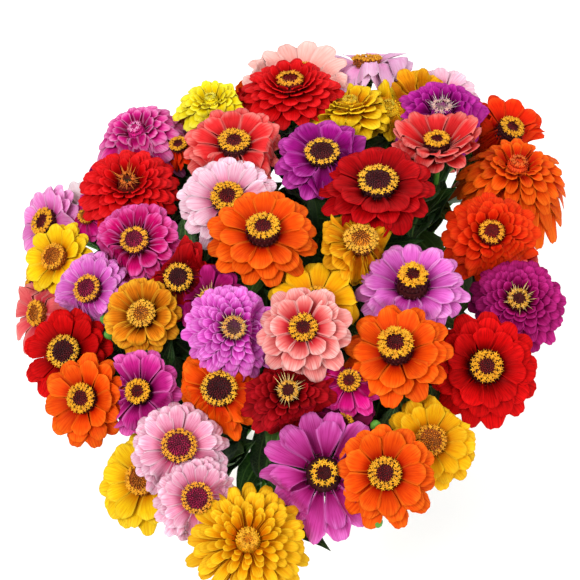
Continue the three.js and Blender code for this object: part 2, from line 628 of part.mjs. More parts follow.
// ---------- the whole bunch ----------
const stemPaths = front.map(stemPath);
const sprays = back.map(spray);
const stems = [
  ...front.map((bloom, i) => stemSolid(bloom, stemPaths[i])),
  ...sprays.map(({ trunk }) => trunk),
];
const leaves = [...tierLeaves(stemPaths), ...seenLeaves(stemPaths)].map(leafSolid);

// Each bloom in turn, its petals bent clear of the blooms before it and of all heads, stems and leaves.
const cores = blooms.map(coreSolid);
const bloomSolids = [];
for (const bloom of blooms) {
  const near = (other) => other !== bloom
    && other.middle.distanceTo(bloom.middle) < other.radius + bloom.radius + FADE;
  const obstacles = [
    ...bloomSolids.filter((_, i) => near(blooms[i])),
    ...cores.filter((_, i) => i > bloom.order && near(blooms[i])),
    ...stems,
    ...leaves,
    ...sprays.filter((_, i) => back[i][0].name !== bloom.name).map(({ branches }) => branches),
  ];
  bloomSolids.push(bloomSolid(bloom, obstacles).transform(bloom.place.elements));
}

// Stems, leaves and the bundle that they make inside the vase, grown into one.
function leafyStems() {
  const foot = VASE_FLOOR + GAP;
  const crown = bundleRadius(MOUTH);
  const stations = [
    [foot, bundleRadius(foot)],
    [VASE_HEIGHT, bundleRadius(VASE_HEIGHT)],
    [MOUTH + BUNDLE_BROW, crown],
    [MOUTH + BUNDLE_CROWN, crown * BUNDLE_TIP],
  ];
  const line = stations.map(([z]) => new THREE.Vector3(0, 0, z));
  const bundle = rodSolid(line, stations.map(([, radius]) => radius), BUNDLE_SIDES);
  return [...stems, ...leaves].reduce((whole, part) => whole.add(part), bundle);
}

const bouquet = new THREE.Group();
bouquet.name = "zinnia_bouquet";

function addPiece(name, geometry, color, roughness) {
  const mesh = new THREE.Mesh(geometry, new THREE.MeshStandardMaterial({ color, roughness, metalness: 0 }));
  mesh.name = name;
  bouquet.add(mesh);
  return mesh;
}

for (const bloom of front) {
  const own = geometryOf(bloomSolids[bloom.order], bloom.place.clone().invert());
  const mesh = addPiece(bloom.name, own, COLOURS[bloom.colour], PETAL_ROUGHNESS);
  mesh.position.copy(bloom.middle);
  mesh.quaternion.copy(bloom.turn);
}
for (const [i, group] of back.entries()) {
  const solid = group.reduce((whole, bloom) => whole.add(bloomSolids[bloom.order]), sprays[i].branches);
  addPiece(group[0].name, geometryOf(solid), COLOURS[group[0].colour], PETAL_ROUGHNESS);
}
addPiece("leafy_stems", geometryOf(leafyStems()), GREEN, LEAF_ROUGHNESS);
addPiece("vase", vaseGeometry(), GLAZE, GLAZE_ROUGHNESS);
addPiece("water", waterGeometry(), CLEAR, CLEAR_ROUGHNESS);

export default bouquet;
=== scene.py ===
"""A domed bunch of mixed zinnias in a plain white glazed vase: the finished surfaces, in metres, +Z up.

Every bloom stands where its solid stands: the places in the table of blooms, the formulas for them and for how
blooms press on each other are those of the solids. The rows of petals are finer ones along the same curves.
"""

import itertools
import math
from types import SimpleNamespace

import bpy
import numpy as np
from mathutils import Matrix, Quaternion, Vector
from numpy.linalg import norm


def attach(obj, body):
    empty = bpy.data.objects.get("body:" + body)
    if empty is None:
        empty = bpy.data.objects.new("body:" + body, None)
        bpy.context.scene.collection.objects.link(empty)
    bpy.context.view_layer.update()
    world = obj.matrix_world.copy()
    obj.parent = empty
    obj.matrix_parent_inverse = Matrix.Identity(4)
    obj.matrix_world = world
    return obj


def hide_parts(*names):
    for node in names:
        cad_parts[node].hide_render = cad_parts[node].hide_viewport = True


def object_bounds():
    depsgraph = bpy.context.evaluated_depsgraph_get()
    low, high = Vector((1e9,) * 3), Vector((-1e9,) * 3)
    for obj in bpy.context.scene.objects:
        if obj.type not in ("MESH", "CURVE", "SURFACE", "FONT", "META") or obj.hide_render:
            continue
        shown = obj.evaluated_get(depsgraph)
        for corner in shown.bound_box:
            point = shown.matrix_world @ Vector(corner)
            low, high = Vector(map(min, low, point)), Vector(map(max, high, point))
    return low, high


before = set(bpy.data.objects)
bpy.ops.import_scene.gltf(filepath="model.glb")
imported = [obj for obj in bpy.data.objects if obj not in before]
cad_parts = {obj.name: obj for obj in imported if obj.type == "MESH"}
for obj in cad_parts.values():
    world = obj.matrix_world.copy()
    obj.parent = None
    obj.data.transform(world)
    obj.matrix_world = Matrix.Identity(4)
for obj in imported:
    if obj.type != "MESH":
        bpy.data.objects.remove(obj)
cad_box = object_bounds()

# ---------- driving dimensions, as in the solids ----------
MM = 0.001
MM_PER_PX = 0.8
PICTURE_MIDDLE = 290
VIEW_DISTANCE = 1.3
VIEW_ELEVATION = math.radians(51)
BUNCH_MIDDLE = np.array([0, -0.034, 0.37])
DOME_NEAR = 110 * MM
DOME_LOW = -200 * MM
DOME_TALL = 420 * MM
DOME_DEEP = 0.9
DOME_WIDE = 275 * MM
PETAL_THICK = 1.2 * MM
CALYX_DEEP = 9 * MM
LAYER_GAP = 1.4 * MM
ROW_GAP = 1.9 * MM
LAYER_THICK = 3.6 * MM
FADE = 5 * MM
FULL_PRESS = 0.8
LEAST_ALONG = 0.5
YIELD = 1.5
TURN_EACH = 2.4
BASE_SLOPE = 3
VASE_HEIGHT = 178 * MM
VASE_FLOOR = 9 * MM
VASE_WALL = 4.5 * MM
VASE_FOOT = 50 * MM
VASE_BELLY = 68 * MM
VASE_NECK = 43 * MM
VASE_LIP = 49 * MM
MOUTH = VASE_HEIGHT + 14 * MM
MOUTH_RADIUS = 30 * MM
CROWD = 0.92
STEM_BOW = 0.35
STEM_FAN = 2.2
FORK_SHARE = 0.36
FORK_DROP = 24 * MM
FORK_FAN = 1.5
DOME_REACH = 215 * MM
FOCAL_PX = 1625
PICTURE_PX = 580
SENSOR_MM = 36

UP = np.array([0, 0, 1])
VIEW_RIGHT = np.array([1.0, 0, 0])
VIEW_UP = np.array([0, math.sin(VIEW_ELEVATION), math.cos(VIEW_ELEVATION)])
VIEW_BACK = np.array([0, -math.cos(VIEW_ELEVATION), math.sin(VIEW_ELEVATION)])
EYE = BUNCH_MIDDLE + VIEW_BACK * VIEW_DISTANCE

# A bloom's form, in shares of its radius. core: where its petals start; head: how high its seed head stands; seat:
# how deep its base goes; lowest: rise, fall and drop of its lowest row; rows, from the top: count, reach, rise,
# fall, drop, half width of a petal, and which of the solid's rows it belongs to.
OPEN = dict(seat=0.3, lowest=(0.22, 0.24, 0.1), rows=[
    (9, 0.8, 0.45, 0.16, 0.0, 0.23, 0),
    (10, 0.92, 0.33, 0.2, 0.04, 0.23, 0.5),
    (11, 1.0, 0.22, 0.24, 0.1, 0.23, 1)])
FORMS = {
    "open": dict(OPEN, core=0.3, head=0.24),
    "cone": dict(OPEN, core=0.28, head=0.42),
    "full": dict(core=0.23, head=0.22, seat=0.34, lowest=(0.22, 0.26, 0.2), rows=[
        (8, 0.42, 0.9, 0.16, -0.02, 0.12, 0),
        (9, 0.54, 0.72, 0.2, 0.0, 0.14, 0),
        (10, 0.67, 0.52, 0.22, 0.03, 0.16, 0.5),
        (11, 0.8, 0.4, 0.24, 0.07, 0.18, 1),
        (12, 0.91, 0.3, 0.25, 0.13, 0.19, 1.5),
        (12, 1.0, 0.22, 0.26, 0.2, 0.2, 2)]),
    "ball": dict(core=0.23, head=0.2, seat=0.34, lowest=(0.1, 0.8, 0.2), rows=[
        (8, 0.44, 0.6, 0.16, -0.04, 0.13, 0),
        (9, 0.6, 0.5, 0.3, 0.0, 0.15, 0),
        (10, 0.76, 0.4, 0.4, 0.05, 0.17, 0.5),
        (11, 0.9, 0.3, 0.5, 0.1, 0.19, 1),
        (12, 0.96, 0.2, 0.64, 0.15, 0.2, 1.5),
        (12, 1.0, 0.1, 0.8, 0.2, 0.21, 2)]),
    "cup": dict(core=0.28, head=0.3, seat=0.28, lowest=(0.42, 0.3, 0.08), rows=[
        (9, 0.86, 0.76, 0.28, 0.0, 0.24, 0),
        (10, 0.94, 0.58, 0.29, 0.04, 0.24, 0.5),
        (10, 1.0, 0.4, 0.3, 0.08, 0.24, 1)]),
    "part": dict(core=0.27, head=0.24, seat=0.24, lowest=(0.26, 0.22, 0.0), rows=[
        (9, 0.9, 0.42, 0.2, -0.05, 0.23, 0),
        (10, 1.0, 0.26, 0.22, 0.0, 0.24, 0)]),
}

# Shades of the petals in full light, sRGB: at the root, in the middle, at the tip and the edges.
# The root shade is partly the petals' own deeper base and partly painted shade, where petals run in under those
# above.
SHADES = {
    "amber": ((216, 116, 0), (246, 178, 8), (255, 212, 44)),
    "lemon": ((240, 200, 0), (253, 234, 14), (255, 250, 90)),
    "sun": ((210, 120, 0), (248, 200, 12), (255, 224, 50)),
    "gold": ((158, 66, 0), (234, 144, 6), (254, 200, 34)),
    "bronze": ((100, 30, 0), (218, 118, 10), (252, 186, 44)),
    "orange": ((190, 22, 0), (243, 80, 4), (255, 122, 26)),
    "scarlet": ((176, 8, 0), (232, 40, 4), (252, 78, 22)),
    "coral": ((168, 4, 10), (232, 46, 48), (254, 150, 140)),
    "rose": ((200, 40, 60), (240, 104, 104), (255, 168, 158)),
    "salmon": ((206, 40, 52), (246, 134, 128), (255, 212, 204)),
    "shell": ((240, 140, 130), (250, 184, 174), (255, 218, 210)),
    "red": ((104, 0, 0), (204, 3, 5), (234, 18, 18)),
    "crimson": ((150, 0, 0), (222, 6, 12), (248, 40, 44)),
    "dark_red": ((74, 0, 2), (174, 2, 8), (212, 22, 28)),
    "deep_red": ((84, 0, 2), (148, 2, 8), (190, 20, 34)),
    "magenta": ((150, 0, 64), (214, 12, 124), (248, 96, 190)),
    "cerise": ((104, 0, 26), (202, 4, 104), (254, 122, 204)),
    "violet": ((112, 0, 66), (202, 32, 136), (250, 124, 206)),
    "purple": ((84, 0, 56), (154, 8, 122), (216, 86, 190)),
    "royal": ((92, 0, 66), (172, 6, 138), (222, 70, 186)),
    "fuchsia": ((140, 0, 70), (222, 26, 140), (255, 168, 220)),
    "plum": ((92, 0, 40), (156, 8, 92), (212, 50, 146)),
    # A purple painted darker, as painted shade, for a bloom deep in the bunch.
    "purple_in_shade": ((60, 0, 20), (106, 6, 50), (156, 26, 96)),
    "mauve": ((146, 10, 92), (198, 62, 152), (232, 124, 206)),
    "lilac": ((160, 20, 124), (222, 102, 198), (248, 172, 232)),
    "rosy_lilac": ((196, 60, 140), (234, 134, 204), (254, 196, 232)),
    "orchid": ((140, 0, 104), (222, 64, 192), (255, 158, 240)),
    "pale_lilac": ((222, 130, 184), (240, 184, 222), (252, 218, 240)),
    "pale_pink": ((222, 96, 142), (248, 196, 216), (255, 236, 244)),
    "pink": ((204, 60, 108), (240, 162, 192), (255, 230, 242)),
    "cream": ((236, 186, 194), (246, 226, 232), (254, 246, 250)),
}
LIGHT_SHARE = 0.82  # of such a shade, because full light brightens it again

# Name, colour, form, pixel of the seed head's middle, radius in pixels, lean to the right and upwards in degrees,
# depth in mm; and for the looks, the shade of the petals and the kind of heart.
FRONT_BLOOMS = [
    ("yellow_bottom", "yellow", "full", 248, 538, 60, 0, 12, 0, "amber", "pith"),
    ("orange_lower_right", "orange", "open", 385, 473, 51, 0, 4, 0, "orange", "ring"),
    ("pink_lower", "pale_pink", "open", 197, 498, 43, 0, 6, 6, "pink", "rosy_ring"),
    ("mauve_front", "lilac", "open", 324, 473, 63, 0, 5, 12, "mauve", "small_ring"),
    ("pink_light", "pale_pink", "open", 179, 445, 49, 0, 18, 7, "pink", "rosy_ring"),
    ("orange_left", "orange", "open", 80, 398, 46, -25, 6, 0, "orange", "ring"),
    ("salmon_centre", "salmon", "full", 303, 327, 50, -2, 15, 0, "salmon", "ring"),
    ("orange_right", "orange", "cone", 395, 342, 55, -6, 28, 0, "orange", "ring"),
    ("orchid_centre", "orchid", "full", 234, 327, 49, 6, 13, 3, "orchid", "pale_sparks"),
    ("violet_left", "violet", "cup", 137, 391, 44, -14, 10, 4, "violet", "ring"),
    ("red_right", "red", "open", 487, 366, 56, 10, 6, 3, "red", "ring"),
    ("deep_red", "dark_red", "full", 288, 390, 48, 0, 13, 8, "deep_red", "straw_sparks"),
    ("orange_lower", "orange", "open", 219, 388, 50, 0, 18, 10, "orange", "wide_ring"),
    ("red_left", "red", "open", 63, 351, 47, -20, 12, 6, "red", "wide_ring"),
    ("gold_left", "gold", "cup", 141, 313, 40, -16, 18, 4, "bronze", "wool"),
    ("lilac_left", "lilac", "open", 86, 288, 42, -28, 20, 0, "lilac", "rosy_ring"),
    ("plum_right", "plum", "full", 519, 298, 49, 4, 20, 4, "plum", "straw_sparks"),
    ("orange_centre", "orange", "cone", 263, 222, 56, 0, 33, 0, "orange", "ring"),
    ("lilac_right", "lilac", "cone", 413, 274, 57, 3, 36, 4, "lilac", "ring"),
    ("magenta_left", "magenta", "open", 134, 239, 45, -14, 22, 0, "cerise", "rosy_ring"),
    ("purple_mid", "purple", "part", 209, 297, 38, -4, 24, 22, "plum", "straw_sparks"),
    ("dark_red_left", "dark_red", "open", 178, 277, 46, -5, 12, 4, "dark_red", "wide_ring"),
    ("scarlet_right", "scarlet", "full", 492, 231, 51, 5, 24, 2, "scarlet", "tuft"),
    ("dark_red_centre", "dark_red", "open", 378, 178, 59, 0, 40, 0, "dark_red", "wide_ring"),
    ("pale_pink_centre", "pale_pink", "open", 227, 195, 51, -5, 28, 12, "pale_pink", "ring"),
    ("gold_centre", "gold", "cup", 361, 238, 45, 4, 34, 11, "gold", "wool"),
    ("purple_centre", "purple", "open", 322, 149, 50, -5, 40, 5, "purple", "wide_ring"),
    ("coral_top", "coral", "open", 234, 138, 52, -3, 40, 2, "coral", "ring"),
    ("red_full_left", "red", "full", 127, 178, 52, -8, 36, 3, "crimson", "sparks"),
    ("coral_cup", "coral", "cup", 437, 138, 46, 0, 50, 4, "coral", "ring"),
    ("orange_full_right", "scarlet", "ball", 519, 160, 58, 14, 48, 2, "orange", "closed"),
    ("yellow_left", "yellow", "open", 52, 256, 40, -34, 20, 2, "sun", "gilt"),
    ("lilac_edge", "lilac", "open", 41, 221, 42, -46, 22, 4, "rosy_lilac", "ring"),
    ("yellow_lower_left", "yellow", "open", 140, 478, 50, -26, 12, 11, "sun", "gilt"),
    ("yellow_right", "yellow", "open", 431, 440, 47, 6, 8, 12, "amber", "gilt"),
    ("purple_top", "violet", "full", 442, 105, 53, 3, 44, 0, "royal", "silver_sparks"),
    ("red_top", "red", "full", 290, 78, 52, -4, 50, 0, "crimson", "tuft"),
    ("yellow_side", "yellow", "full", 350, 98, 49, -2, 58, 4, "sun", "closed"),
    ("scarlet_edge", "scarlet", "open", 513, 126, 45, 26, 36, 10, "scarlet", "ring"),
    ("yellow_top", "yellow", "full", 210, 96, 38, -14, 46, 0, "lemon", "closed"),
    ("magenta_edge", "magenta", "ball", 134, 126, 47, -22, 42, 2, "fuchsia", "closed"),
    ("yellow_back", "yellow", "part", 388, 104, 42, 0, 40, 20, "sun", "closed"),
    ("gold_back", "gold", "part", 418, 97, 43, 0, 36, 26, "gold", "closed"),
    ("salmon_back", "salmon", "part", 300, 72, 57, 0, 48, 20, "shell", "ring"),
    ("lilac_back", "lilac", "part", 367, 57, 48, -4, 75, 4, "pale_lilac", "gilt"),
    ("pink_back", "pale_pink", "part", 443, 93, 37, 4, 38, 30, "pale_pink", "ring"),
    ("red_behind", "red", "part", 257, 92, 31, -4, 42, 26, "red", "closed"),
    ("yellow_mid", "yellow", "part", 316, 298, 50, 0, 34, 25, "amber", "ring"),
    ("violet_mid", "violet", "part", 349, 380, 37, -4, 15, 18, "magenta", "ring"),
    ("coral_edge", "coral", "part", 34, 313, 42, -48, 6, 6, "rose", "gilt"),
    ("magenta_small", "magenta", "part", 86, 215, 28, -14, 28, 12, "magenta", "gilt"),
    ("cream_edge", "cream", "part", 80, 208, 38, -24, 30, 20, "cream", "closed"),
    # Its purple is painted darker: painted shade deep in the bunch.
    ("purple_low", "purple", "part", 343, 422, 34, 0, 18, 28, "purple_in_shade", "ring"),
    ("scarlet_low", "scarlet", "part", 178, 143, 30, -14, 38, 24, "scarlet", "ring"),
]

# Behind: direction round the vase in degrees, distance out and height over the bunch's middle in mm, radius in mm,
# and the elevation it faces.
BACK_BLOOMS = {
    "back_left": ("magenta", [(129, 202, -36, 37, 25), (146.5, 192, -24, 37, 25), (122, 238, -80, 37, 22),
                              (139.5, 220, -68, 37, 20), (157, 216, -62, 37, 22), (174.5, 214, -54, 37, 25)]),
    "back_middle": ("orange", [(111.5, 190, -20, 38, 25), (101, 240, -62, 38, 25), (85, 250, -46, 38, 25),
                               (76, 256, -90, 38, 15)]),
    "back_right": ("coral", [(64, 254, -44, 38, 25), (46, 256, -38, 38, 25), (52, 254, -92, 37, 15),
                             (33, 230, -78, 38, 18), (19, 214, -90, 37, 18), (9, 200, -42, 36, 20)]),
}


# ---------- places ----------
def unit(vector):
    return vector / norm(vector)


def heading(angle):
    """The level direction at an angle round the upward axis."""
    return np.array([math.cos(angle), math.sin(angle), 0])


def beside(way):
    """The level vector at a right angle to another."""
    return np.array([-way[1], way[0], 0])


def arc(radius, along):
    """How far a circle falls away from its tangent, at a distance along it."""
    return radius - math.sqrt(max(0, radius * radius - along * along))


def seen_at(px, py, sink):
    """The point seen at a pixel, on the dome or sunk below it."""
    right = (px - PICTURE_MIDDLE) * MM_PER_PX * MM
    up = (PICTURE_MIDDLE - py) * MM_PER_PX * MM
    depth = DOME_NEAR - DOME_DEEP * arc(DOME_TALL, up - DOME_LOW) - arc(DOME_WIDE, right) - sink
    ray = BUNCH_MIDDLE + VIEW_RIGHT * right + VIEW_UP * up - EYE
    return EYE + ray * (VIEW_DISTANCE - depth) / VIEW_DISTANCE


def bloom_at(name, slot, form, middle, axis, radius, order, shade, heart):
    spin = Quaternion((0, 0, 1), order * TURN_EACH)
    turn = Vector((0, 0, 1)).rotation_difference(Vector(axis)) @ spin
    return SimpleNamespace(name=name, slot=slot, form=FORMS[form], style=STYLES.get(name, {}), middle=middle,
                           axis=axis, radius=radius, order=order, shade=shade, heart=heart,
                           turn=np.array(turn.to_matrix()), draw=np.random.default_rng(order + 1).uniform)


def front_bloom(order, row):
    name, colour, form, px, py, spread, lean_right, lean_up, sink, shade, heart = row
    head = seen_at(px, py, sink * MM)
    to_eye = EYE - head
    radius = spread * MM_PER_PX * MM * norm(to_eye) / VIEW_DISTANCE
    lean = VIEW_RIGHT * math.tan(math.radians(lean_right)) + VIEW_UP * math.tan(math.radians(lean_up))
    axis = unit(unit(to_eye) + lean)
    middle = head - axis * FORMS[form]["head"] * radius
    return bloom_at(name, colour, form, middle, axis, radius, order, shade, heart)


def back_bloom(order, name, colour, place):
    direction, out, height, radius, elevation = place
    level, rise = heading(math.radians(direction)), math.radians(elevation)
    middle = level * out * MM + UP * (BUNCH_MIDDLE[2] + height * MM)
    axis = level * math.cos(rise) + UP * math.sin(rise)
    return bloom_at(name, colour, "part", middle, axis, radius * MM, order, colour, "ring")


def all_blooms():
    front = [front_bloom(order, row) for order, row in enumerate(FRONT_BLOOMS)]
    orders = itertools.count(len(front))
    groups = [[back_bloom(next(orders), f"{name}_{k}", colour, place) for k, place in enumerate(places, 1)]
              for name, (colour, places) in BACK_BLOOMS.items()]
    return front, groups


# ---------- how blooms press on each other ----------
def smooth(share):
    share = np.clip(share, 0, 1)
    return share * share * (3 - 2 * share)


def underside(bloom, distance):
    """Height of a bloom's underside over its roots' plane, at distances from its axis."""
    form = bloom.form
    share = np.clip((distance / bloom.radius - form["core"]) / (1 - form["core"]), 0, 1)
    rise, fall, drop = form["lowest"]
    petal = rise * share - fall * share * share - drop
    base = np.clip(1 - share * BASE_SLOPE, 0, 1) * form["seat"]
    return (petal - base) * bloom.radius - PETAL_THICK


def drop_under(points, axis, over_blooms, row):
    """How far points have to drop along an axis to lie under other blooms, from the nearest to the topmost."""
    drop = np.zeros(len(points))
    between = np.zeros(len(points))
    for over in over_blooms:
        offset = points - over.middle
        height = offset @ over.axis
        distance = np.sqrt(np.maximum(0, np.einsum("ij,ij->i", offset, offset) - height * height))
        reach = over.radius + FADE
        near = (distance < reach) & (np.abs(height) < reach)
        if not near.any():
            continue
        room = underside(over, distance) - LAYER_GAP - row * ROW_GAP - between * LAYER_THICK
        press = smooth((reach - distance) / (FADE * FULL_PRESS)) * near
        along = max(LEAST_ALONG, float(axis @ over.axis))
        drop = np.maximum(drop, (height - room) / along * press)
        close = smooth((over.radius + FADE / 2 - distance) / FADE)
        under = smooth((height - room + 2 * LAYER_THICK) / LAYER_THICK)
        between += near * close * under
    return drop


# ---------- meshes ----------
EASE = 10 * MM  # the outermost stretch of the solids' box, in which points are drawn in to stay inside


def eased(points):
    """Points drawn in smoothly from the sides and the top of the solids' box, but not from its floor."""
    low, high = (np.array(corner) for corner in cad_box)
    low[2] = -math.inf
    for sign, limit in ((-1, low), (1, high)):
        over = np.maximum(0, sign * (points - limit) + EASE)
        points = points - sign * (over - EASE * (1 - np.exp(-over / EASE)))
    return points


def shell_faces(rows, columns):
    """Quads of a closed shell: a grid of points above and the same grid below."""
    below = rows * columns
    at = np.arange(below).reshape(rows, columns)
    top = np.stack([at[:-1, :-1], at[:-1, 1:], at[1:, 1:], at[1:, :-1]], -1).reshape(-1, 4)
    rim = np.concatenate([at[0, :], at[1:, -1], at[-1, -2::-1], at[-2:0:-1, 0]])
    following = np.roll(rim, -1)
    side = np.stack([rim, rim + below, following + below, following], -1)
    return np.concatenate([top, top[:, [0, 3, 2, 1]] + below, side])


class Pieces:
    """Closed bodies gathered for one mesh, with a value for each point, and the bloom that they are placed by."""

    def __init__(self, attribute, place=None):
        self.attribute, self.place = attribute, place
        self.points, self.faces, self.values, self.size = [], [], [], 0

    def add(self, points, faces, value):
        points = np.asarray(points, float).reshape(-1, 3)
        self.points.append(points)
        self.values.append(np.broadcast_to(np.asarray(value, float), (len(points), 3)))
        self.faces += [[point + self.size for point in face] for face in faces]
        self.size += len(points)

    def add_shells(self, upper, lower, upper_value, lower_value):
        """Thin bodies, each between a grid of points and the same grid below it."""
        count, rows, columns = upper.shape[:3]
        first = np.arange(count) * 2 * rows * columns
        faces = (shell_faces(rows, columns) + first[:, None, None]).reshape(-1, 4)
        self.add(np.stack([upper, lower], 1), faces, np.stack([upper_value, lower_value], 1).reshape(-1, 3))

    def add_blades(self, upper, lower, along, across, own):
        """Petals or leaves. Their values are the places on them and their own number, with 2 more underneath."""
        place = np.stack(np.broadcast_arrays(along, across, own, upper[..., 0])[:3], -1)
        self.add_shells(upper, lower, place, place + (2, 0, 0))

    def mesh(self, name):
        points = np.concatenate(self.points)
        if self.place:
            points = points @ self.place.turn.T + self.place.middle
        mesh = bpy.data.meshes.new(name)
        mesh.from_pydata(eased(points).tolist(), [], self.faces)
        values = mesh.attributes.new(self.attribute, "FLOAT_VECTOR", "POINT")
        values.data.foreach_set("vector", np.concatenate(self.values).astype(np.float32).ravel())
        mesh.shade_smooth()
        return mesh


def add_object(name, data):
    made = bpy.data.objects.new(name, data)
    bpy.context.scene.collection.objects.link(made)
    return made


def piece(name, bodies, material, slot, *replaced):
    mesh = bodies.mesh(name)
    made = add_object(name, mesh)
    mesh.materials.append(material)
    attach(made, "root")
    if replaced:
        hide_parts(*replaced)


def linear(colour):
    """An sRGB colour, 0 to 255, as linear light."""
    share = np.asarray(colour, float) / 255
    return np.where(share <= 0.04045, share / 12.92, ((share + 0.055) / 1.055) ** 2.4)


# ---------- petals ----------
PETAL_ROWS, PETAL_COLUMNS = 9, 7
BLADE_THICK = 0.45 * MM
TIP_THINNER = 0.35
HANG = 0.13  # how much petals that point down hang and those that point up stand, as a share of the radius
HANG_LONGER = 0.1
WAIST = 0.36  # a petal's width at its root, as a share of its widest
WIDEST = 0.78  # where along its length it is widest
BLUNT = 0.45  # the longest stretch over which its tip is rounded, as a share of its length
STEEPEST = 0.93  # the steepest that a pressed petal runs down, as the sine of its slope
PRESS_ROUNDS = 3
# The least and the most of what is drawn for each petal: how far its place, its length and its lift are from even,
# its width, the notch in its tip, the cup at its root and at its tip, its ripple and its twist.
OFF_PLACE, OFF_LENGTH, OFF_LIFT = (-0.1, 0.1), (-0.05, 0.05), (-0.045, 0.045)
WIDTHS, NOTCHES = (0.9, 1.12), (0, 0.04)
ROOT_CUPS, TIP_CUPS, RIPPLES, TWISTS = (0.1, 0.34), (-0.14, 0.14), (0.02, 0.07), (-0.16, 0.16)


def layers(bloom):
    """The rows of a bloom's petals, with more and narrower ones where the bloom is a fine one."""
    rows = np.array(bloom.style.get("rows", bloom.form["rows"]))
    fine = bloom.style.get("fine", 1)
    at = np.linspace(0, len(rows) - 1, round(len(rows) * math.sqrt(fine)))
    rows = np.stack([np.interp(at, np.arange(len(rows)), column) for column in rows.T], -1)
    rows[:, 0] = np.round(rows[:, 0] * fine)
    rows[:, 5] /= fine ** 0.8
    return rows


def round_axis(angle, out, across, height):
    x = out * np.cos(angle) - across * np.sin(angle)
    y = out * np.sin(angle) + across * np.cos(angle)
    return np.stack([x, y, np.broadcast_to(height, x.shape)], -1)


def pressed(bloom, over, level, angle, out, across, height, far):
    """The same petals bent down under other blooms, each line along them keeping its length."""
    span = np.hypot(np.diff(out, axis=1), np.diff(height, axis=1))
    bent, low = out.copy(), height.copy()
    for _ in range(PRESS_ROUNDS):
        world = round_axis(angle, bent, across, height).reshape(-1, 3) @ bloom.turn.T + bloom.middle
        drop = drop_under(world, bloom.axis, over, level).reshape(out.shape) * np.minimum(1, far * YIELD)
        for i in range(1, PETAL_ROWS):
            limit = STEEPEST * span[:, i - 1]
            fall = np.clip(height[:, i] - drop[:, i] - low[:, i - 1], -limit, limit)
            low[:, i] = low[:, i - 1] + fall
            bent[:, i] = bent[:, i - 1] + np.sqrt(span[:, i - 1] ** 2 - fall ** 2)
    return bent, low


def petals(bloom, blooms):
    radius, draw, style = bloom.radius, bloom.draw, bloom.style
    root = bloom.form["core"] * radius
    loose, curl, waist = style.get("loose", 1), style.get("cup", 1), style.get("waist", WAIST)
    over = [other for other in blooms[:bloom.order][::-1]
            if norm(other.middle - bloom.middle) < other.radius + radius + FADE]
    u = np.linspace(0, 1, PETAL_ROWS).reshape(1, -1, 1) ** 0.9
    v = np.linspace(-1, 1, PETAL_COLUMNS).reshape(1, 1, -1)
    wide = waist + (1 - waist) * np.sin(math.pi / 2 * np.clip(u / WIDEST, 0, 1)) ** 1.25
    wide = wide * (1 - 0.1 * np.clip((u - WIDEST) / (1 - WIDEST), 0, 1) ** 2)
    made = Pieces("petal", bloom)
    for number, (count, reach, rise, fall, down, width, level) in enumerate(layers(bloom)):
        count = int(count)
        shape = (count, 1, 1)
        step = math.tau / count
        at = (np.arange(count) + 0.5 + number / 2) * step + draw(*OFF_PLACE, count) * step * loose
        angle = at.reshape(shape)
        aside, _, upwards = (np.cos(angle) * row[0] + np.sin(angle) * row[1] for row in bloom.turn)
        length = (1.02 + draw(*OFF_LENGTH, shape) * loose) * reach * radius * style.get("long", 1)
        length = length * (1 + HANG_LONGER * np.maximum(0, -upwards)) - root
        half = width * radius * draw(*WIDTHS, shape)
        notch = draw(*NOTCHES, shape) * np.exp(-(v / 0.22) ** 2) * u ** 6
        far = u - np.minimum(BLUNT, half / length) * (1 - np.sqrt(1 - 0.98 * v * v)) * u ** 5 - notch
        out = root * 0.93 + (length + root * 0.07) * far
        across = half * wide * v
        lift = style.get("fold", 0) * aside ** 2 + style.get("hang", HANG) * upwards
        lift = (lift + draw(*OFF_LIFT, shape) * loose) * reach * far ** 2
        height = (rise * reach * far - fall * reach * far ** 2 - down + lift) * radius
        cup = draw(*ROOT_CUPS, shape) * (1 - u) * curl + draw(*TIP_CUPS, shape) * u
        cup = cup + 0.24 * (curl - 1) * np.sin(math.pi * u)
        ripple = draw(*RIPPLES, shape)
        ripple = ripple * np.sin(math.tau * (1.2 * u + draw(0, 1, shape)))
        twist = draw(*TWISTS, shape) * u
        height = height + half * (cup * v * v + ripple * v * np.abs(v) + twist * v
                                  - 0.035 * np.cos(3 * math.pi * v) * np.sin(math.pi * u))
        out, height = pressed(bloom, over, level, angle, out, across, height, far)
        top = round_axis(angle, out, across, height)
        bottom = top - (BLADE_THICK * (1 - TIP_THINNER * u))[..., None] * UP
        made.add_blades(top, bottom, u, v, draw(0, 1, shape))
    return made


# ---------- seed heads ----------
# Radius of the ring of florets, as a share of the head's; rows of florets; colours of the disc, the cone's flank
# and the florets, where None stands for the petals' own; and for spikes, their colour and their length, as a share
# of the head's radius.
HEARTS = {
    "ring": (1.06, 3, (112, 2, 12), (64, 2, 6), (250, 184, 22)),
    "wide_ring": (1.08, 2, (80, 0, 12), (52, 0, 8), (248, 190, 40)),
    "rosy_ring": (1.06, 2, (146, 14, 62), (96, 6, 40), (248, 178, 40)),
    "small_ring": (0.76, 2, (84, 2, 10), (58, 4, 14), (250, 190, 30)),
    "gilt": (1.04, 2, (190, 108, 12), (150, 74, 6), (248, 178, 24)),
    "wool": (1.0, 3, (214, 128, 14), (120, 60, 10), (246, 190, 50)),
    "pith": (0.8, 3, (210, 120, 8), (250, 186, 14), (252, 196, 36)),
    "tuft": (0.96, 2, (128, 4, 4), (110, 8, 4), (248, 176, 30)),
    "closed": (0.5, 1, None, None, None),
    "sparks": (0.55, 1, (46, 44, 8), (120, 20, 4), (226, 120, 24), (240, 132, 34), 1.5),
    "pale_sparks": (0.95, 2, (104, 70, 50), (110, 20, 84), (234, 180, 84), (238, 208, 160), 0.9),
    "silver_sparks": (0.7, 1, (170, 140, 130), (150, 30, 130), (226, 190, 176), (236, 214, 206), 1.2),
    "straw_sparks": (0.85, 2, (84, 12, 10), (84, 4, 16), (236, 182, 60), (240, 204, 130), 1.4),
}
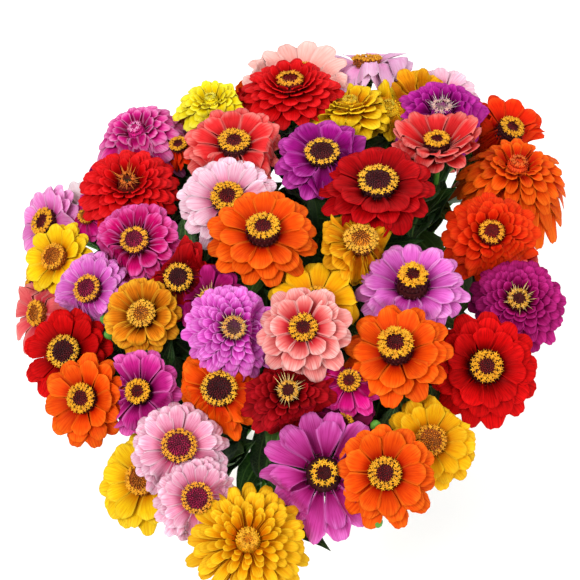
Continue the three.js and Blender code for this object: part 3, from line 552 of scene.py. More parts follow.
# What sets single blooms apart. fine: how many times as many petals as their form has, and narrower; ring: how
# many times as wide a seed head; hang: how much petals that point down hang; cup: how much more their long edges
# curl up; fold: how much those to its sides stand up; waist: how narrow they are at the root; long: how many times
# as long they are; loose: how many times as unevenly they stand; rows: petals of their own, as in a form.
STYLES = {
    "yellow_bottom": dict(fine=1.3, ring=0.85, cup=1.9, loose=1.6, rows=[
        (8, 0.38, 1.3, 0.3, -0.08, 0.07, 0), (9, 0.48, 0.98, 0.26, -0.04, 0.08, 0),
        (11, 0.6, 0.7, 0.22, 0.0, 0.09, 0.4), (12, 0.72, 0.5, 0.24, 0.04, 0.105, 0.8),
        (13, 0.83, 0.4, 0.24, 0.08, 0.12, 1.2), (14, 0.92, 0.32, 0.25, 0.13, 0.13, 1.6),
        (15, 1.0, 0.22, 0.26, 0.2, 0.14, 2)]),
    "orange_lower_right": dict(ring=0.94),
    "pink_lower": dict(fine=1.5, ring=1.08),
    "mauve_front": dict(ring=0.8, waist=0.26, cup=1.8, long=1.02, rows=[
        (7, 0.84, 0.42, 0.2, 0.0, 0.19, 0), (14, 1.0, 0.24, 0.24, 0.06, 0.2, 1)]),
    "pink_light": dict(fine=1.45, ring=1.05),
    "orange_left": dict(ring=0.94),
    "salmon_centre": dict(ring=1.08, cup=1.8, loose=1.3, rows=[
        (8, 0.66, 0.62, 0.22, 0.0, 0.2, 0), (10, 0.84, 0.42, 0.24, 0.07, 0.23, 1),
        (11, 0.98, 0.22, 0.26, 0.2, 0.25, 2)]),
    "orchid_centre": dict(fine=1.3, cup=1.5),
    "violet_left": dict(ring=0.88, cup=1.7),
    "red_right": dict(ring=0.82, cup=1.4, rows=[
        (10, 0.7, 0.5, 0.18, 0.0, 0.22, 0), (12, 0.88, 0.36, 0.2, 0.04, 0.23, 0.5),
        (13, 1.0, 0.22, 0.24, 0.1, 0.23, 1)]),
    "orange_lower": dict(ring=1.05),
    "deep_red": dict(fine=1.15),
    "gold_left": dict(ring=1.2, cup=2.2, waist=0.5),
    "lilac_left": dict(fine=1.4, cup=1.4),
    "plum_right": dict(fine=1.2, cup=1.8),
    "orange_centre": dict(ring=0.93, fine=1.1),
    "lilac_right": dict(ring=0.78, fine=1.35, cup=1.3),
    "dark_red_left": dict(ring=0.88),
    "scarlet_right": dict(fine=1.1, cup=1.4),
    "magenta_left": dict(ring=0.9, fine=1.2, cup=2.2, waist=0.24),
    "dark_red_centre": dict(ring=0.95, cup=1.4, rows=[
        (9, 0.76, 0.48, 0.16, 0.0, 0.23, 0), (11, 0.88, 0.34, 0.2, 0.04, 0.22, 0.5),
        (12, 1.0, 0.22, 0.24, 0.1, 0.22, 1)]),
    "pale_pink_centre": dict(fine=1.35, ring=0.95),
    "gold_centre": dict(ring=1.3, cup=2.2),
    "coral_top": dict(ring=0.86, fine=1.15),
    "red_full_left": dict(fine=1.35, cup=1.4),
    "coral_cup": dict(ring=0.84, hang=0.42, cup=1.8, fold=0.34),
    "orange_full_right": dict(fine=1.5, cup=1.8, loose=1.8),
    "yellow_right": dict(fine=1.2),
    "purple_top": dict(fine=1.1, cup=1.8),
    "red_top": dict(fine=1.2),
    "scarlet_edge": dict(ring=0.8),
    "yellow_top": dict(fine=1.15, cup=1.8, loose=1.6),
    "magenta_edge": dict(fine=1.2, cup=1.5, long=1.05, loose=1.3),
    "lilac_back": dict(hang=0.08),
    "salmon_back": dict(fine=1.3),
}
GOLDEN_ANGLE = math.pi * (3 - math.sqrt(5))
LOBES = 5
FLORET, FLORET_BLOOM = 2.4 * MM, 44 * MM  # a floret's size on a bloom of that radius
HEAD_SIDES = 20
CHAFF = 64
BRACT_ROWS, BRACTS = 4, 22
SPARKS, SPARK_WIDE, SPARK_THICK = 30, 0.42 * MM, 0.36 * MM
SCALE_ROWS, SCALES, SCALE_THICK = 3, 11, 0.7 * MM


def lathe(made, profile, sides, value):
    """A body turned from a line that starts and ends on the axis."""
    middle = profile[1:-1]
    angle = np.arange(sides) * math.tau / sides
    rings = [[(r * math.cos(a), r * math.sin(a), z) for a in angle] for r, z in middle]
    points = [(0, 0, profile[0][1]), (0, 0, profile[-1][1])] + [p for ring in rings for p in ring]
    faces = []
    for k in range(sides):
        n = (k + 1) % sides
        faces.append((0, 2 + k, 2 + n))
        for i in range(len(middle) - 1):
            a = 2 + i * sides
            faces.append((a + k, a + sides + k, a + sides + n, a + n))
        last = 2 + (len(middle) - 1) * sides
        faces.append((1, last + n, last + k))
    made.add(points, faces, value)


def spike(made, foot, ahead, side, length, width, thick, value):
    """A closed pointed scale: two corners at its foot, a corner under them and its tip."""
    up = np.cross(ahead, side)
    points = [foot + side * width, foot - side * width, foot + ahead * length, foot - up * thick]
    made.add(points, [(0, 1, 2), (0, 3, 1), (1, 3, 2), (2, 3, 0)], value)


def chaff(made, draw, ring, crown, colour):
    """Chaffy scales in spirals over the disc."""
    for k in range(CHAFF):
        share = math.sqrt((k + 0.5) / CHAFF)
        around = heading(k * GOLDEN_ANGLE)
        foot = around * share * ring * 0.7 + UP * crown * (0.74 + 0.08 * share * share)
        ahead = unit(UP - around * (0.2 + 0.7 * share))
        glow = colour * draw(0.55, 1.5)
        length = ring * draw(0.2, 0.28)
        spike(made, foot, ahead, beside(around), length, ring * 0.085, ring * 0.07, glow)


def bracts(made, draw, root, ring, low, brow, colour):
    """Dark pointed bracts over the cone's flank."""
    for row in range(BRACT_ROWS):
        share = (row + 0.5) / BRACT_ROWS
        out = root * (1.08 - 0.1 * share) if row < 2 else root + (ring - root) * share ** 0.8
        for k in range(BRACTS):
            around = heading((k + 0.5 * (row % 2)) * math.tau / BRACTS)
            foot = around * out + UP * (low + (brow - low) * share)
            ahead = unit(UP + around * 0.3)
            glow = colour * draw(0.6, 1.7)
            spike(made, foot, ahead, beside(around), (brow - low) * 0.3, root * 0.12, root * 0.05, glow)


def florets(made, draw, ring, crown, size, rows, bright):
    """Small star-shaped florets standing round the disc, their feet darker and redder as painted shade."""
    n = 2 * LOBES
    faces = [(j, (j + 1) % n, n) for j in range(n)] + [((j + 1) % n, j, n + 1) for j in range(n)]
    for row in range(rows):
        out = ring * (1 - 0.17 * row)
        spread = size * (1 - 0.08 * row)
        count = max(7, int(math.tau * out / (spread * 1.62)))
        for k in range(count):
            around = heading((k + 0.5 * row + draw(-0.2, 0.2)) * math.tau / count)
            axis = unit(np.append(draw(-0.35, 0.35, 2), 1) + around * (0.5 - 0.35 * row))
            side = unit(np.cross(axis, around))
            other = np.cross(axis, side)
            tall = crown * draw(0.95, 1.12) + spread * (0.1 if row == 1 else -0.15)
            middle = around * out * draw(0.97, 1.03) + UP * tall
            first = draw(0, math.pi)
            points = []
            for j in range(n):
                reach, raised = (1.12, 0.3) if j % 2 == 0 else (0.34, -0.04)
                a = first + j * math.pi / LOBES
                points.append(middle + (side * math.cos(a) + other * math.sin(a)) * spread * reach
                              + axis * spread * raised)
            points += [middle - axis * spread * 0.25, middle - axis * crown * 0.3]
            glow = bright * draw(0.72, 1.15) * (1, draw(0.86, 1.06), 1)
            value = np.tile(glow, (n + 2, 1))
            # Painted shade: the foot and stalk of each floret are darker and redder, where the florets crowd
            # together.
            value[n:] = bright * (0.62, 0.4, 0.3)
            made.add(points, faces, value)


def sparks(made, draw, ring, crown, reach, colour):
    """Long pointed florets that spread round the disc like rays."""
    for k in range(SPARKS):
        around = heading(k * GOLDEN_ANGLE + draw(-0.4, 0.4))
        foot = around * ring * draw(0.55, 1.1) + UP * crown * 0.86
        ahead = unit(around + draw((-0.2, -0.2, 0.35), (0.2, 0.2, 1.3)))
        spike(made, foot, ahead, beside(around), reach * draw(0.3, 1.0), SPARK_WIDE, SPARK_THICK,
              colour * draw(0.55, 1.1))


def scales(made, radius, root, seat, low):
    """Rounded green scales with dark rims, overlapping up the base under the petals."""
    brow = low - 0.06 * radius
    green, rim = linear((62, 104, 34)), linear((26, 30, 14))
    u = np.linspace(0, 1, 4).reshape(1, -1, 1)
    v = np.linspace(-1, 1, 3).reshape(1, 1, -1)
    for row in range(SCALE_ROWS):
        start, end = row / SCALE_ROWS - 0.05, min(1.0, row / SCALE_ROWS + 0.46)
        angle = (np.arange(SCALES).reshape(-1, 1, 1) + 0.5 * (row % 2)) * math.tau / SCALES
        share = start + (end - start) * u
        out = root * (0.55 + 0.46 * np.maximum(share, 0) ** 0.7) + (1.0 - 0.25 * row) * MM * u + 0.35 * MM
        turn = angle + v * math.pi / SCALES * 1.15 * np.sqrt(1 - 0.75 * u ** 3)
        height = seat + (brow - seat) * share - 0.6 * MM * v * v * u
        outer, inner = (round_axis(turn, out - thick, 0, height) for thick in (0, SCALE_THICK))
        tint = np.broadcast_to(green + (rim - green) * u[..., None] ** 4, outer.shape)
        made.add_shells(inner, outer, tint, tint)


def heart(bloom):
    form, radius, draw = bloom.form, bloom.radius, bloom.draw
    wide, rows, disc, flank, bright, *spikes = HEARTS[bloom.heart]
    root = form["core"] * radius
    crown = form["head"] * radius
    seat = -form["seat"] * radius
    low = -form["lowest"][2] * radius
    brow = crown * 0.8
    ring = root * wide * bloom.style.get("ring", 1)
    _, body, tip = (linear(colour) * LIGHT_SHARE for colour in SHADES[bloom.shade])
    disc, flank, bright = (own if colour is None else linear(colour)
                           for colour, own in ((disc, body), (flank, body), (bright, tip)))
    made = Pieces("tint", bloom)
    lathe(made, [(0, crown * 0.7), (ring * 0.45, crown * 0.78), (ring * 0.78, brow), (ring * 0.95, brow * 0.84),
                 (root * 0.98, low + 0.35 * (brow - low)), (root, low), (root * 0.97, low - 0.1 * radius),
                 (root * 0.55, seat), (0, seat)], HEAD_SIDES, flank)
    chaff(made, draw, ring, crown, disc)
    bracts(made, draw, root, ring, low, brow, flank)
    florets(made, draw, ring, crown, FLORET * radius / FLORET_BLOOM, rows, bright)
    if spikes:
        sparks(made, draw, ring, crown, root * spikes[1], linear(spikes[0]))
    scales(made, radius, root, seat, low)
    return made


# ---------- stems and leaves ----------
TUBE_SIDES = 8
STEM_POINTS, GROUP_POINTS = 14, 8
STEM_DIP = 30 * MM  # how far stems go down into the neck of the vase
STEM_CLOSE = 0.1  # and how much nearer to its axis they come
# Radii of stems in mm, at the neck under the calyx and from there on: in front, and behind.
FRONT_RADII, BACK_RADII = (3.0, 2.5, 2.2), (3.0, 2.3)
GROUP_STEM = 3.2 * MM
GREEN, PALE_GREEN = linear((78, 138, 42)), linear((150, 180, 110))
HAIRS, HAIR_THICK = 90, 0.16 * MM
HAIRY_SPANS = 5  # how many of a stem's stretches have hairs
BUDS = [(376, 423, 16), (378, 526, 12), (101, 318, 8), (105, 334, 10)]  # pixel of the tip, and depth in mm
BUD = [(-10, 1.5), (-8.5, 3.2), (-6, 4.2), (-3.5, 4.0), (-1, 2.6), (0.6, 0.6)]  # place along it and radius in mm
BUD_STALK = 1.3 * MM
BUD_ROOT = 0.3  # how far down the nearest stem a bud's stalk begins


def tube(made, line, radii, value):
    """A round stem along points, closed at both ends."""
    line = np.asarray(line)
    ahead = np.gradient(line, axis=0)
    ahead /= norm(ahead, axis=1)[:, None]
    side = unit(np.cross(ahead[0], (0.31, 0.95, 0.07)))
    points = []
    for point, way, radius in zip(line, ahead, radii):
        side = unit(side - way * (side @ way))
        other = np.cross(way, side)
        for k in range(TUBE_SIDES):
            a = math.tau * k / TUBE_SIDES
            points.append(point + (side * math.cos(a) + other * math.sin(a)) * radius)
    faces = []
    last = (len(line) - 1) * TUBE_SIDES
    for i in range(len(line) - 1):
        for k in range(TUBE_SIDES):
            a, b = i * TUBE_SIDES + k, i * TUBE_SIDES + (k + 1) % TUBE_SIDES
            faces.append((a, b, b + TUBE_SIDES, a + TUBE_SIDES))
    faces += [tuple(range(TUBE_SIDES))[::-1], tuple(range(last, last + TUBE_SIDES))]
    made.add(points, faces, value)


def calyx_path(bloom):
    """The top of a bloom's calyx and its neck, where the stem begins."""
    seat = bloom.middle - bloom.axis * (bloom.form["seat"] * bloom.radius)
    return seat, seat - bloom.axis * CALYX_DEEP


def gate_under(x, y):
    """Where a stem from over a point passes the mouth of the vase."""
    crowd = MOUTH_RADIUS * CROWD / max(DOME_REACH, math.hypot(x, y))
    return np.array([x * crowd, y * crowd, MOUTH])


def stem_curve(bloom, share):
    """Points of a stem at shares of the way from its neck to the mouth of the vase."""
    seat, neck = calyx_path(bloom)
    gate = gate_under(seat[0], seat[1])
    span = norm(neck - gate)
    first = neck - bloom.axis * STEM_BOW * span
    second = np.array([gate[0] * STEM_FAN, gate[1] * STEM_FAN, MOUTH + STEM_BOW * span])
    t = np.asarray(share, float)[:, None]
    return neck * (1 - t) ** 3 + first * 3 * t * (1 - t) ** 2 + second * 3 * t * t * (1 - t) + gate * t ** 3


def stalk(made, bloom, line, radii):
    """A bloom's stem: as wide as the calyx at its top, then by its radii, the last of them as far as it goes."""
    radii = [bloom.form["core"] * bloom.radius / 2] + [radius * MM for radius in radii]
    tube(made, line, radii + radii[-1:] * (len(line) - len(radii)), GREEN * bloom.draw(0.8, 1.2))


def hairs(made, draw, line):
    """Short stiff hairs round the upper part of a stem."""
    for k in range(HAIRS):
        share = (k + draw(0, 1)) / HAIRS * HAIRY_SPANS + 1
        i = int(share)
        way = unit(line[i + 1] - line[i])
        point = line[i] + (line[i + 1] - line[i]) * (share - i)
        side = unit(np.cross(way, (math.sin(k * 2.4), math.cos(k * 2.4), 0.2)))
        spike(made, point + side * 2 * MM, unit(side + way * draw(-0.3, 0.3)), way,
              draw(1.4, 2.4) * MM, HAIR_THICK, HAIR_THICK, PALE_GREEN)


def buds(made, front):
    """Closed buds on thin stalks, seen between the blooms."""
    roots = [stem_curve(bloom, (BUD_ROOT,))[0] for bloom in front]
    for px, py, sink in BUDS:
        tip = seen_at(px, py, sink * MM)
        root = min(roots, key=lambda at: norm(at - tip))
        along, radii = np.array(BUD).T * MM
        bud = along[:, None] * unit(tip - root) + tip
        line = np.concatenate([root + (bud[0] - root) * np.array([[0], [0.35], [0.7]]), bud])
        tube(made, line, [BUD_STALK] * 3 + list(radii), GREEN * 1.1)


def stems(front, groups):
    made = Pieces("tint")
    for bloom in front:
        curve = stem_curve(bloom, np.linspace(0, 1, STEM_POINTS))
        x, y, z = curve[-1]
        foot = (x - x * STEM_CLOSE, y - y * STEM_CLOSE, z - STEM_DIP)
        line = np.concatenate([[calyx_path(bloom)[0]], curve, [foot]])
        stalk(made, bloom, line, FRONT_RADII)
        hairs(made, bloom.draw, line)
    for group in groups:
        centre = sum(bloom.middle for bloom in group) / len(group)
        fork = centre + (UP * MOUTH - centre) * FORK_SHARE - UP * FORK_DROP
        gate = gate_under(fork[0] * FORK_FAN, fork[1] * FORK_FAN)
        t = np.linspace(0, 1, GROUP_POINTS)[:, None]
        for bloom in group:
            seat, neck = calyx_path(bloom)
            stalk(made, bloom, np.concatenate([[seat], neck + (fork - neck) * t]), BACK_RADII)
        tube(made, fork + (gate - fork) * t, [GROUP_STEM] * GROUP_POINTS, GREEN)
    buds(made, front)
    return made


LEAF_ROWS, LEAF_COLUMNS = 11, 7
LEAF_THICK = 0.5 * MM
# As in the solids: tiers of leaves round the outer stems (count, turn, place along the stem, rise, length and
# width in mm, droop), and leaves that show between the blooms (pixel of the tip, depth and width in mm).
LEAF_TIERS = [(11, 0.5, 0.72, -0.3, 64, 30, 0.4), (9, 0, 0.42, -0.05, 60, 26, 0.15)]
SEEN_LEAVES = [(313, 192, 34, 22), (424, 240, 40, 24), (447, 188, 46, 22), (236, 462, 30, 26), (331, 551, 34, 20)]
# More of them, deeper down, that close the gaps through which the floor would show.
HIDDEN_LEAVES = [
    (244, 452, 50, 34), (256, 440, 56, 34), (434, 386, 50, 30), (441, 206, 60, 30), (428, 222, 70, 34),
    (127, 347, 44, 26), (247, 184, 60, 34), (456, 188, 56, 40), (446, 202, 90, 36), (283, 182, 60, 34),
    (268, 430, 46, 34), (250, 430, 62, 38), (252, 426, 90, 40), (447, 190, 100, 40)]
LEAF_HOLD = 0.55  # how far down the upper half of a stem such a leaf begins
LEAF_SEED = 7
# Pairs of smaller leaves up every stem in front: shares of the way from the calyx to the mouth, and their size.
LEAF_PAIRS = (0.07, 0.17, 0.3, 0.46)
PAIR_LENGTH, PAIR_WIDTH = 58 * MM, 23 * MM
PAIR_EDGE = 10 * MM  # how far from its middle line a leaf has to be sheltered too
NEIGHBOUR = 140 * MM  # how far from a stem's own bloom others may press on its leaves
DEEPEST_LEAF = 18 * MM  # leaves that would have to bend further down are left out
SHELTER_PX = (190, 170)  # half the width and the height of the middle of the bunch
SHELTER_SHARE = 0.9  # how much of a bloom's radius hides what is behind it


def leaf(made, draw, root, reach, length, width, droop, axis=None, over_blooms=()):
    """A pointed leaf with raised, waved edges; given an axis, it lies under the blooms along that axis."""
    across = unit(beside(reach))
    over = unit(np.cross(reach, across))
    u = np.linspace(0, 1, LEAF_ROWS)[:, None]
    v = np.linspace(-1, 1, LEAF_COLUMNS)[None, :]
    arch = np.sin(math.pi * u)
    half = 0.5 * width * (0.06 + 0.94 * np.sin(math.pi * u ** 0.72) ** 0.8) * (1 - u ** 9)
    wave = 0.06 * width * np.sin(math.tau * (2.2 * u + draw(0, 1))) * v * np.abs(v)
    raised = 0.16 * width * np.abs(v) ** 1.5 * arch + wave * arch
    bow = draw(-0.08, 0.08) * length * arch
    top = (root + (u * length)[..., None] * reach + (half * v + bow)[..., None] * across
           + raised[..., None] * over)
    top[..., 2] -= droop * length * u * u
    if axis is not None:
        drop = drop_under(top.reshape(-1, 3), axis, over_blooms, 0).reshape(top.shape[:2])
        if drop.max() > DEEPEST_LEAF:
            return
        top = top - (drop * np.minimum(1, 3 * u))[..., None] * axis
    made.add_blades(top[None], (top - over * LEAF_THICK)[None], u, v, draw(0, 1))


def sheltered(points, front):
    """Whether the eye sees points only behind blooms, or between them in the middle of the bunch."""
    ray = points - EYE
    seen = ray / -(ray @ VIEW_BACK)[:, None]
    wide, high = seen @ VIEW_RIGHT * FOCAL_PX, seen @ VIEW_UP * FOCAL_PX
    hidden = (wide / SHELTER_PX[0]) ** 2 + (high / SHELTER_PX[1]) ** 2 < 1
    for bloom in front:
        share = ((bloom.middle - EYE) @ bloom.axis) / (ray @ bloom.axis)
        off = EYE + ray * share[:, None] - bloom.middle
        hidden |= (share < 1) & (norm(off, axis=1) < SHELTER_SHARE * bloom.radius)
    return hidden


def leaves(front, blooms):
    made = Pieces("petal")
    draw = np.random.default_rng(LEAF_SEED).uniform
    lines = [stem_curve(bloom, (0, 0.5, 1)) for bloom in front]
    for count, turn, along, rise, length, width, droop in LEAF_TIERS:
        for i in range(count):
            outwards = heading(math.tau * (i + turn) / count)
            _, bend, gate = max(lines, key=lambda line: line[1] @ outwards)
            leaf(made, draw, bend + (gate - bend) * along, unit(outwards + UP * rise), length * MM, width * MM,
                 droop)
    roots = [neck + (bend - neck) * LEAF_HOLD for neck, bend, _ in lines]
    for px, py, sink, width in SEEN_LEAVES + HIDDEN_LEAVES:
        tip = seen_at(px, py, sink * MM)
        root = min(roots, key=lambda at: norm(at - tip))
        leaf(made, draw, root, unit(tip - root), norm(tip - root), width * MM, 0)
    for bloom in front:
        near = [other for other in blooms if norm(other.middle - bloom.middle) < NEIGHBOUR]
        for level, root in enumerate(stem_curve(bloom, LEAF_PAIRS)):
            quarter = bloom.order + level * math.pi / 2
            side = unit(np.cross(bloom.axis, (math.sin(quarter), 0.3, math.cos(quarter))))
            for way in (side, -side):
                reach = unit(way + bloom.axis * draw(0.15, 0.5))
                size = draw(0.85, 1.1) * (1 + 0.12 * level)
                across = unit(np.cross(reach, bloom.axis)) * PAIR_EDGE
                line = root + reach * PAIR_LENGTH * size * np.array([[0.4], [0.7], [1.0]])
                if sheltered(np.concatenate([line, line[:2] + across, line[:2] - across]), front).all():
                    leaf(made, draw, root, reach, PAIR_LENGTH * size, PAIR_WIDTH * size, 0, bloom.axis, near)
    return made


# ---------- vase ----------
VASE_POINTS, VASE_SIDES = 44, 96


def spline(control, count):
    """A smooth line through points: a cubic between each two, with slopes from their neighbours."""
    ends = np.concatenate([[2 * control[0] - control[1]], control, [2 * control[-1] - control[-2]]])
    line = []
    for share in np.linspace(0, len(control) - 1, count):
        k = min(int(share), len(control) - 2)
        t = share - k
        a, b, c, d = ends[k:k + 4]
        line.append(0.5 * (2 * b + (c - a) * t + (2 * a - 5 * b + 4 * c - d) * t * t
                           + (3 * b - a - 3 * c + d) * t ** 3))
    return [tuple(point) for point in line]


def vase():
    control = [(VASE_FOOT, 3 * MM), (VASE_BELLY * 0.93, VASE_HEIGHT * 0.17), (VASE_BELLY, VASE_HEIGHT * 0.36),
               (VASE_BELLY * 0.84, VASE_HEIGHT * 0.62), (VASE_NECK, VASE_HEIGHT * 0.86),
               (VASE_LIP, VASE_HEIGHT - 2 * MM)]
    outer = spline(np.array(control), VASE_POINTS)
    inner = [(r - VASE_WALL, z) for r, z in outer if VASE_FLOOR < z < VASE_HEIGHT - 4 * MM][::-1]
    lip = [(VASE_LIP - 1 * MM, VASE_HEIGHT - 0.4 * MM), (VASE_LIP - 2.2 * MM, VASE_HEIGHT),
           (VASE_LIP - 3.4 * MM, VASE_HEIGHT - 0.5 * MM)]
    line = [(0, 0), (VASE_FOOT - 2 * MM, 0), *outer, *lip, *inner, (inner[-1][0] - 3 * MM, VASE_FLOOR),
            (0, VASE_FLOOR)]
    made = Pieces("tint")
    lathe(made, line[::-1], VASE_SIDES, (1, 1, 1))
    return made


# ---------- materials ----------
def rgba(colour):
    return (*linear(colour), 1)


class Tree:
    """A material's nodes, with short calls to add and join them."""

    def __init__(self, name):
        self.material = bpy.data.materials.new(name)
        self.material.use_nodes = True
        self.nodes = self.material.node_tree.nodes

    def feed(self, socket, value):
        if isinstance(value, bpy.types.NodeSocket):
            self.material.node_tree.links.new(value, socket)
        else:
            socket.default_value = value

    def node(self, kind, settings=None, **inputs):
        """A node with its settings; inputs are named as on the node, or i and their number."""
        made = self.nodes.new("ShaderNode" + kind)
        for key, value in (settings or {}).items():
            setattr(made, key, value)
        for key, value in inputs.items():
            self.feed(made.inputs[int(key[1:]) if key[1:].isdigit() else key], value)
        return made

    def math(self, operation, first, second=0.0):
        return self.node("Math", dict(operation=operation), i0=first, i1=second).outputs[0]

    def times(self, first, second):
        return self.math("MULTIPLY", first, second)

    def mix(self, share, first, second):
        return self.node("Mix", dict(data_type="RGBA"), i0=share, i6=first, i7=second).outputs[2]

    def range(self, value, low, high, to_low=0.0, to_high=1.0):
        return self.node("MapRange", dict(interpolation_type="SMOOTHSTEP"), i0=value, i1=low, i2=high, i3=to_low,
                         i4=to_high).outputs[0]

    def value(self, colour, value):
        return self.node("HueSaturation", Color=colour, Value=value).outputs[0]

    def where(self):
        return self.node("TexCoord").outputs["Object"]

    def noise(self, where, scale, detail=3.0, roughness=0.5):
        return self.node("TexNoise", Vector=where, Scale=scale, Detail=detail, Roughness=roughness).outputs[0]

    def blade(self):
        """On petals and leaves: along, across, outwards from the middle, their own number, and underneath."""
        place = self.node("Attribute", dict(attribute_name="petal")).outputs["Vector"]
        along, across, own = self.node("SeparateXYZ", Vector=place).outputs
        beneath = self.math("GREATER_THAN", along, 1.5)
        along = self.math("SUBTRACT", along, self.times(beneath, 2.0))
        return along, across, self.math("ABSOLUTE", across), own, beneath

    def finish(self, colour, roughness, bump=None, **values):
        """The material, once its colour, roughness, bump (height, distance, strength) and other values are in."""
        shader = self.nodes["Principled BSDF"]
        if bump:
            height, distance, strength = bump
            made = self.node("Bump", Height=height, Distance=distance, Strength=strength)
            self.feed(shader.inputs["Normal"], made.outputs[0])
        for key, value in dict(values, Base_Color=colour, Roughness=roughness).items():
            self.feed(shader.inputs[key.replace("_", " ")], value)
        return self.material


def petal_material(name, shade, full):
    """Veined petals: deeper at the root, partly their own base colour and partly painted shade; paler at the edge,
    and paler still beneath.
    """
    root, body, tip = ((*linear(colour) * LIGHT_SHARE, 1) for colour in SHADES[shade])
    tree = Tree("petal_" + name)
    along, across, side, own, beneath = tree.blade()
    streaks = tree.node("CombineXYZ", X=tree.times(across, 5.0), Y=tree.times(along, 0.9),
                        Z=tree.times(own, 40.0)).outputs[0]
    vein = tree.noise(streaks, 2.2, roughness=0.55)
    blotch = tree.noise(streaks, 0.55, detail=1.0)
    # Painted shade in part: the root shade reaches further out on full blooms, where each petal comes out from
    # under the one above.
    colour = tree.mix(tree.range(along, *((0.25, 0.85) if full else (0.02, 0.66))), root, body)
    edge = tree.math("MAXIMUM", tree.range(along, 0.62, 1.05, 0, 0.75), tree.range(side, 0.6, 1.1, 0, 0.6))
    edge = tree.times(edge, tree.range(blotch, 0.25, 0.65, 0.35, 1.25))
    colour = tree.mix(edge, colour, tip)
    colour = tree.mix(tree.range(vein, 0.38, 0.7, 0.0, 0.5), colour, root)
    rim = tree.times(tree.range(side, 0.8, 0.98, 0, 0.3), tree.range(along, 0.4, 0.8))
    colour = tree.mix(rim, colour, tip)
    colour = tree.mix(tree.times(beneath, 0.45), colour, tip)
    return tree.finish(tree.value(colour, tree.range(own, 0.0, 1.0, 0.86, 1.12)),
                       tree.range(vein, 0.2, 0.8, 0.5, 0.66), (vein, 0.35 * MM, 0.55), Specular_IOR_Level=0.04)


def leaf_material():
    """Dark green, with three pale main veins and a net of fine ones."""
    tree = Tree("leaf_green")
    along, _, side, own, beneath = tree.blade()
    outer = tree.math("ABSOLUTE", tree.math("SUBTRACT", side, 0.46))
    main = tree.math("MAXIMUM", tree.range(side, 0.11, 0.02), tree.range(outer, 0.07, 0.01, 0, 0.6))
    where = tree.where()
    net = tree.node("TexVoronoi", dict(feature="DISTANCE_TO_EDGE"), Vector=where, Scale=330.0).outputs[0]
    mottle = tree.noise(where, 70.0)
    veins = tree.math("MAXIMUM", main, tree.range(net, 0.1, 0.0, 0, 0.35))
    colour = tree.mix(tree.range(mottle, 0.3, 0.7), rgba((8, 34, 6)), rgba((28, 68, 16)))
    colour = tree.mix(tree.range(own, 0.7, 1.0, 0, 0.5), colour, rgba((82, 116, 40)))
    colour = tree.mix(tree.times(veins, 0.6), colour, rgba((112, 150, 74)))
    colour = tree.mix(tree.times(beneath, 0.4), colour, rgba((98, 130, 82)))
    height = tree.math("SUBTRACT", mottle, tree.times(veins, 0.8))
    return tree.finish(colour, tree.range(along, 0.0, 1.0, 0.5, 0.6), (height, 0.5 * MM, 0.6),
                       Specular_IOR_Level=0.35)


def tint_material(name, grain, rough, scale, distance):
    """A surface whose colour is in its points, broken up by a fine grain."""
    tree = Tree(name)
    tint = tree.node("Attribute", dict(attribute_name="tint")).outputs["Color"]
    noise = tree.noise(tree.where(), scale)
    return tree.finish(tree.value(tint, tree.range(noise, 0.3, 0.7, 1 - grain, 1 + grain)), rough,
                       (noise, distance, 0.5), Specular_IOR_Level=0.35)


def glaze_material():
    """White glaze, a little uneven, with faint turning rings under it."""
    tree = Tree("vase_glaze")
    where = tree.where()
    pool = tree.noise(where, 22.0)
    rings = tree.node("TexWave", dict(wave_type="BANDS", bands_direction="Z"), Vector=where, Scale=95.0,
                      Distortion=1.2).outputs["Fac"]
    colour = tree.mix(tree.range(pool, 0.3, 0.7), rgba((246, 244, 238)), rgba((234, 230, 220)))
    height = tree.math("ADD", tree.times(rings, 0.4), pool)
    return tree.finish(colour, tree.range(pool, 0.2, 0.8, 0.12, 0.24), (height, 0.4 * MM, 0.25), Coat_Weight=0.5,
                       Coat_Roughness=0.06)


def water_material():
    tree = Tree("water_clear")
    noise = tree.noise(tree.where(), 40.0, detail=2.0)
    colour = tree.mix(tree.range(noise, 0.3, 0.7), rgba((214, 226, 228)), rgba((196, 214, 216)))
    return tree.finish(colour, 0.04, Alpha=0.35, IOR=1.33)


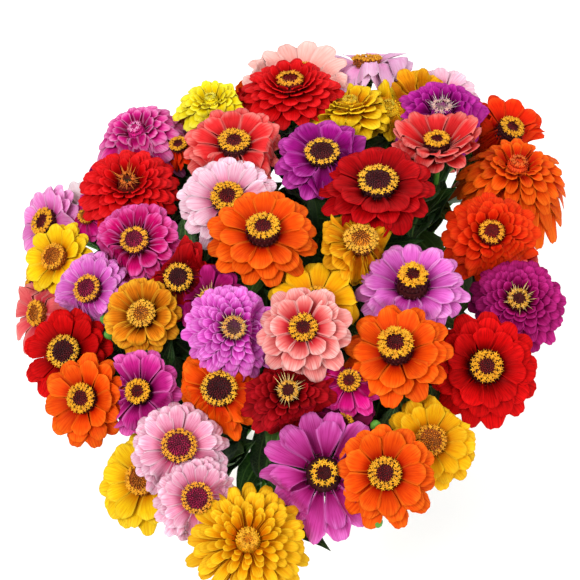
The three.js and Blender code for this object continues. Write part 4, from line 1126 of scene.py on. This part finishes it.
# ---------- the bunch ----------
def bunch():
    front, groups = all_blooms()
    blooms = front + [bloom for group in groups for bloom in group]
    heart_finish = tint_material("seed_heads", 0.3, 0.7, 900.0, 0.2 * MM)
    stem_finish = tint_material("stems_green", 0.18, 0.55, 300.0, 0.3 * MM)
    replaced = {bloom.name: ["zinnia_" + bloom.name] for bloom in front}
    replaced.update((group[0].name, ["zinnias_" + name]) for name, group in zip(BACK_BLOOMS, groups))
    for bloom in blooms:
        finish = petal_material(bloom.name, bloom.shade, bloom.form in (FORMS["full"], FORMS["ball"]))
        piece("petals_" + bloom.name, petals(bloom, blooms), finish, "petals_" + bloom.slot,
              *replaced.get(bloom.name, []))
        piece("heart_" + bloom.name, heart(bloom), heart_finish, "petals_gold")
    piece("stems", stems(front, groups), stem_finish, "stems_and_leaves", "leafy_stems")
    piece("leaves", leaves(front, blooms), leaf_material(), "stems_and_leaves")
    piece("vase_body", vase(), glaze_material(), "vase_glaze", "vase")
    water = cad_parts["water"].data.materials
    water.clear()
    water.append(water_material())


# ---------- room, light and camera ----------
FLOOR_HALF = 6
# Name, place, size and power.
LAMPS = [("key", (-1.1, -1.2, 2.4), 1.2, 46), ("fill", (1.4, -1.0, 1.4), 1.6, 14),
         ("rear", (0.2, 1.8, 1.9), 1.4, 20)]


def floor():
    mesh = bpy.data.meshes.new("floor")
    corners = [(x * FLOOR_HALF, y * FLOOR_HALF, 0) for x, y in ((-1, -1), (1, -1), (1, 1), (-1, 1))]
    mesh.from_pydata(corners, [], [(0, 1, 2, 3)])
    mesh.materials.append(Tree("floor_white").finish((0.95, 0.95, 0.95, 1), 0.9, Emission_Color=(1, 1, 1, 1),
                                                     Emission_Strength=0.12))
    add_object("floor", mesh)


def room():
    world = bpy.data.worlds.new("studio")
    world.use_nodes = True
    background = world.node_tree.nodes["Background"].inputs
    background["Color"].default_value = (1, 1, 1, 1)
    background["Strength"].default_value = 0.75
    bpy.context.scene.world = world
    bpy.context.scene.view_settings.view_transform = "Standard"
    for name, place, size, power in LAMPS:
        light = bpy.data.lights.new(name, "AREA")
        light.shape = "DISK"
        light.size = size
        light.energy = power
        made = add_object(name, light)
        made.location = place
        made.rotation_euler = (Vector(BUNCH_MIDDLE) - Vector(place)).to_track_quat("-Z", "Y").to_euler()


def camera():
    data = bpy.data.cameras.new("view")
    data.sensor_width = SENSOR_MM
    data.lens = SENSOR_MM * FOCAL_PX / PICTURE_PX
    made = add_object("view", data)
    axes = Matrix([VIEW_RIGHT, VIEW_UP, VIEW_BACK]).transposed()
    made.matrix_world = Matrix.Translation(Vector(EYE)) @ axes.to_4x4()
    bpy.context.scene.camera = made


bunch()
floor()
room()
camera()
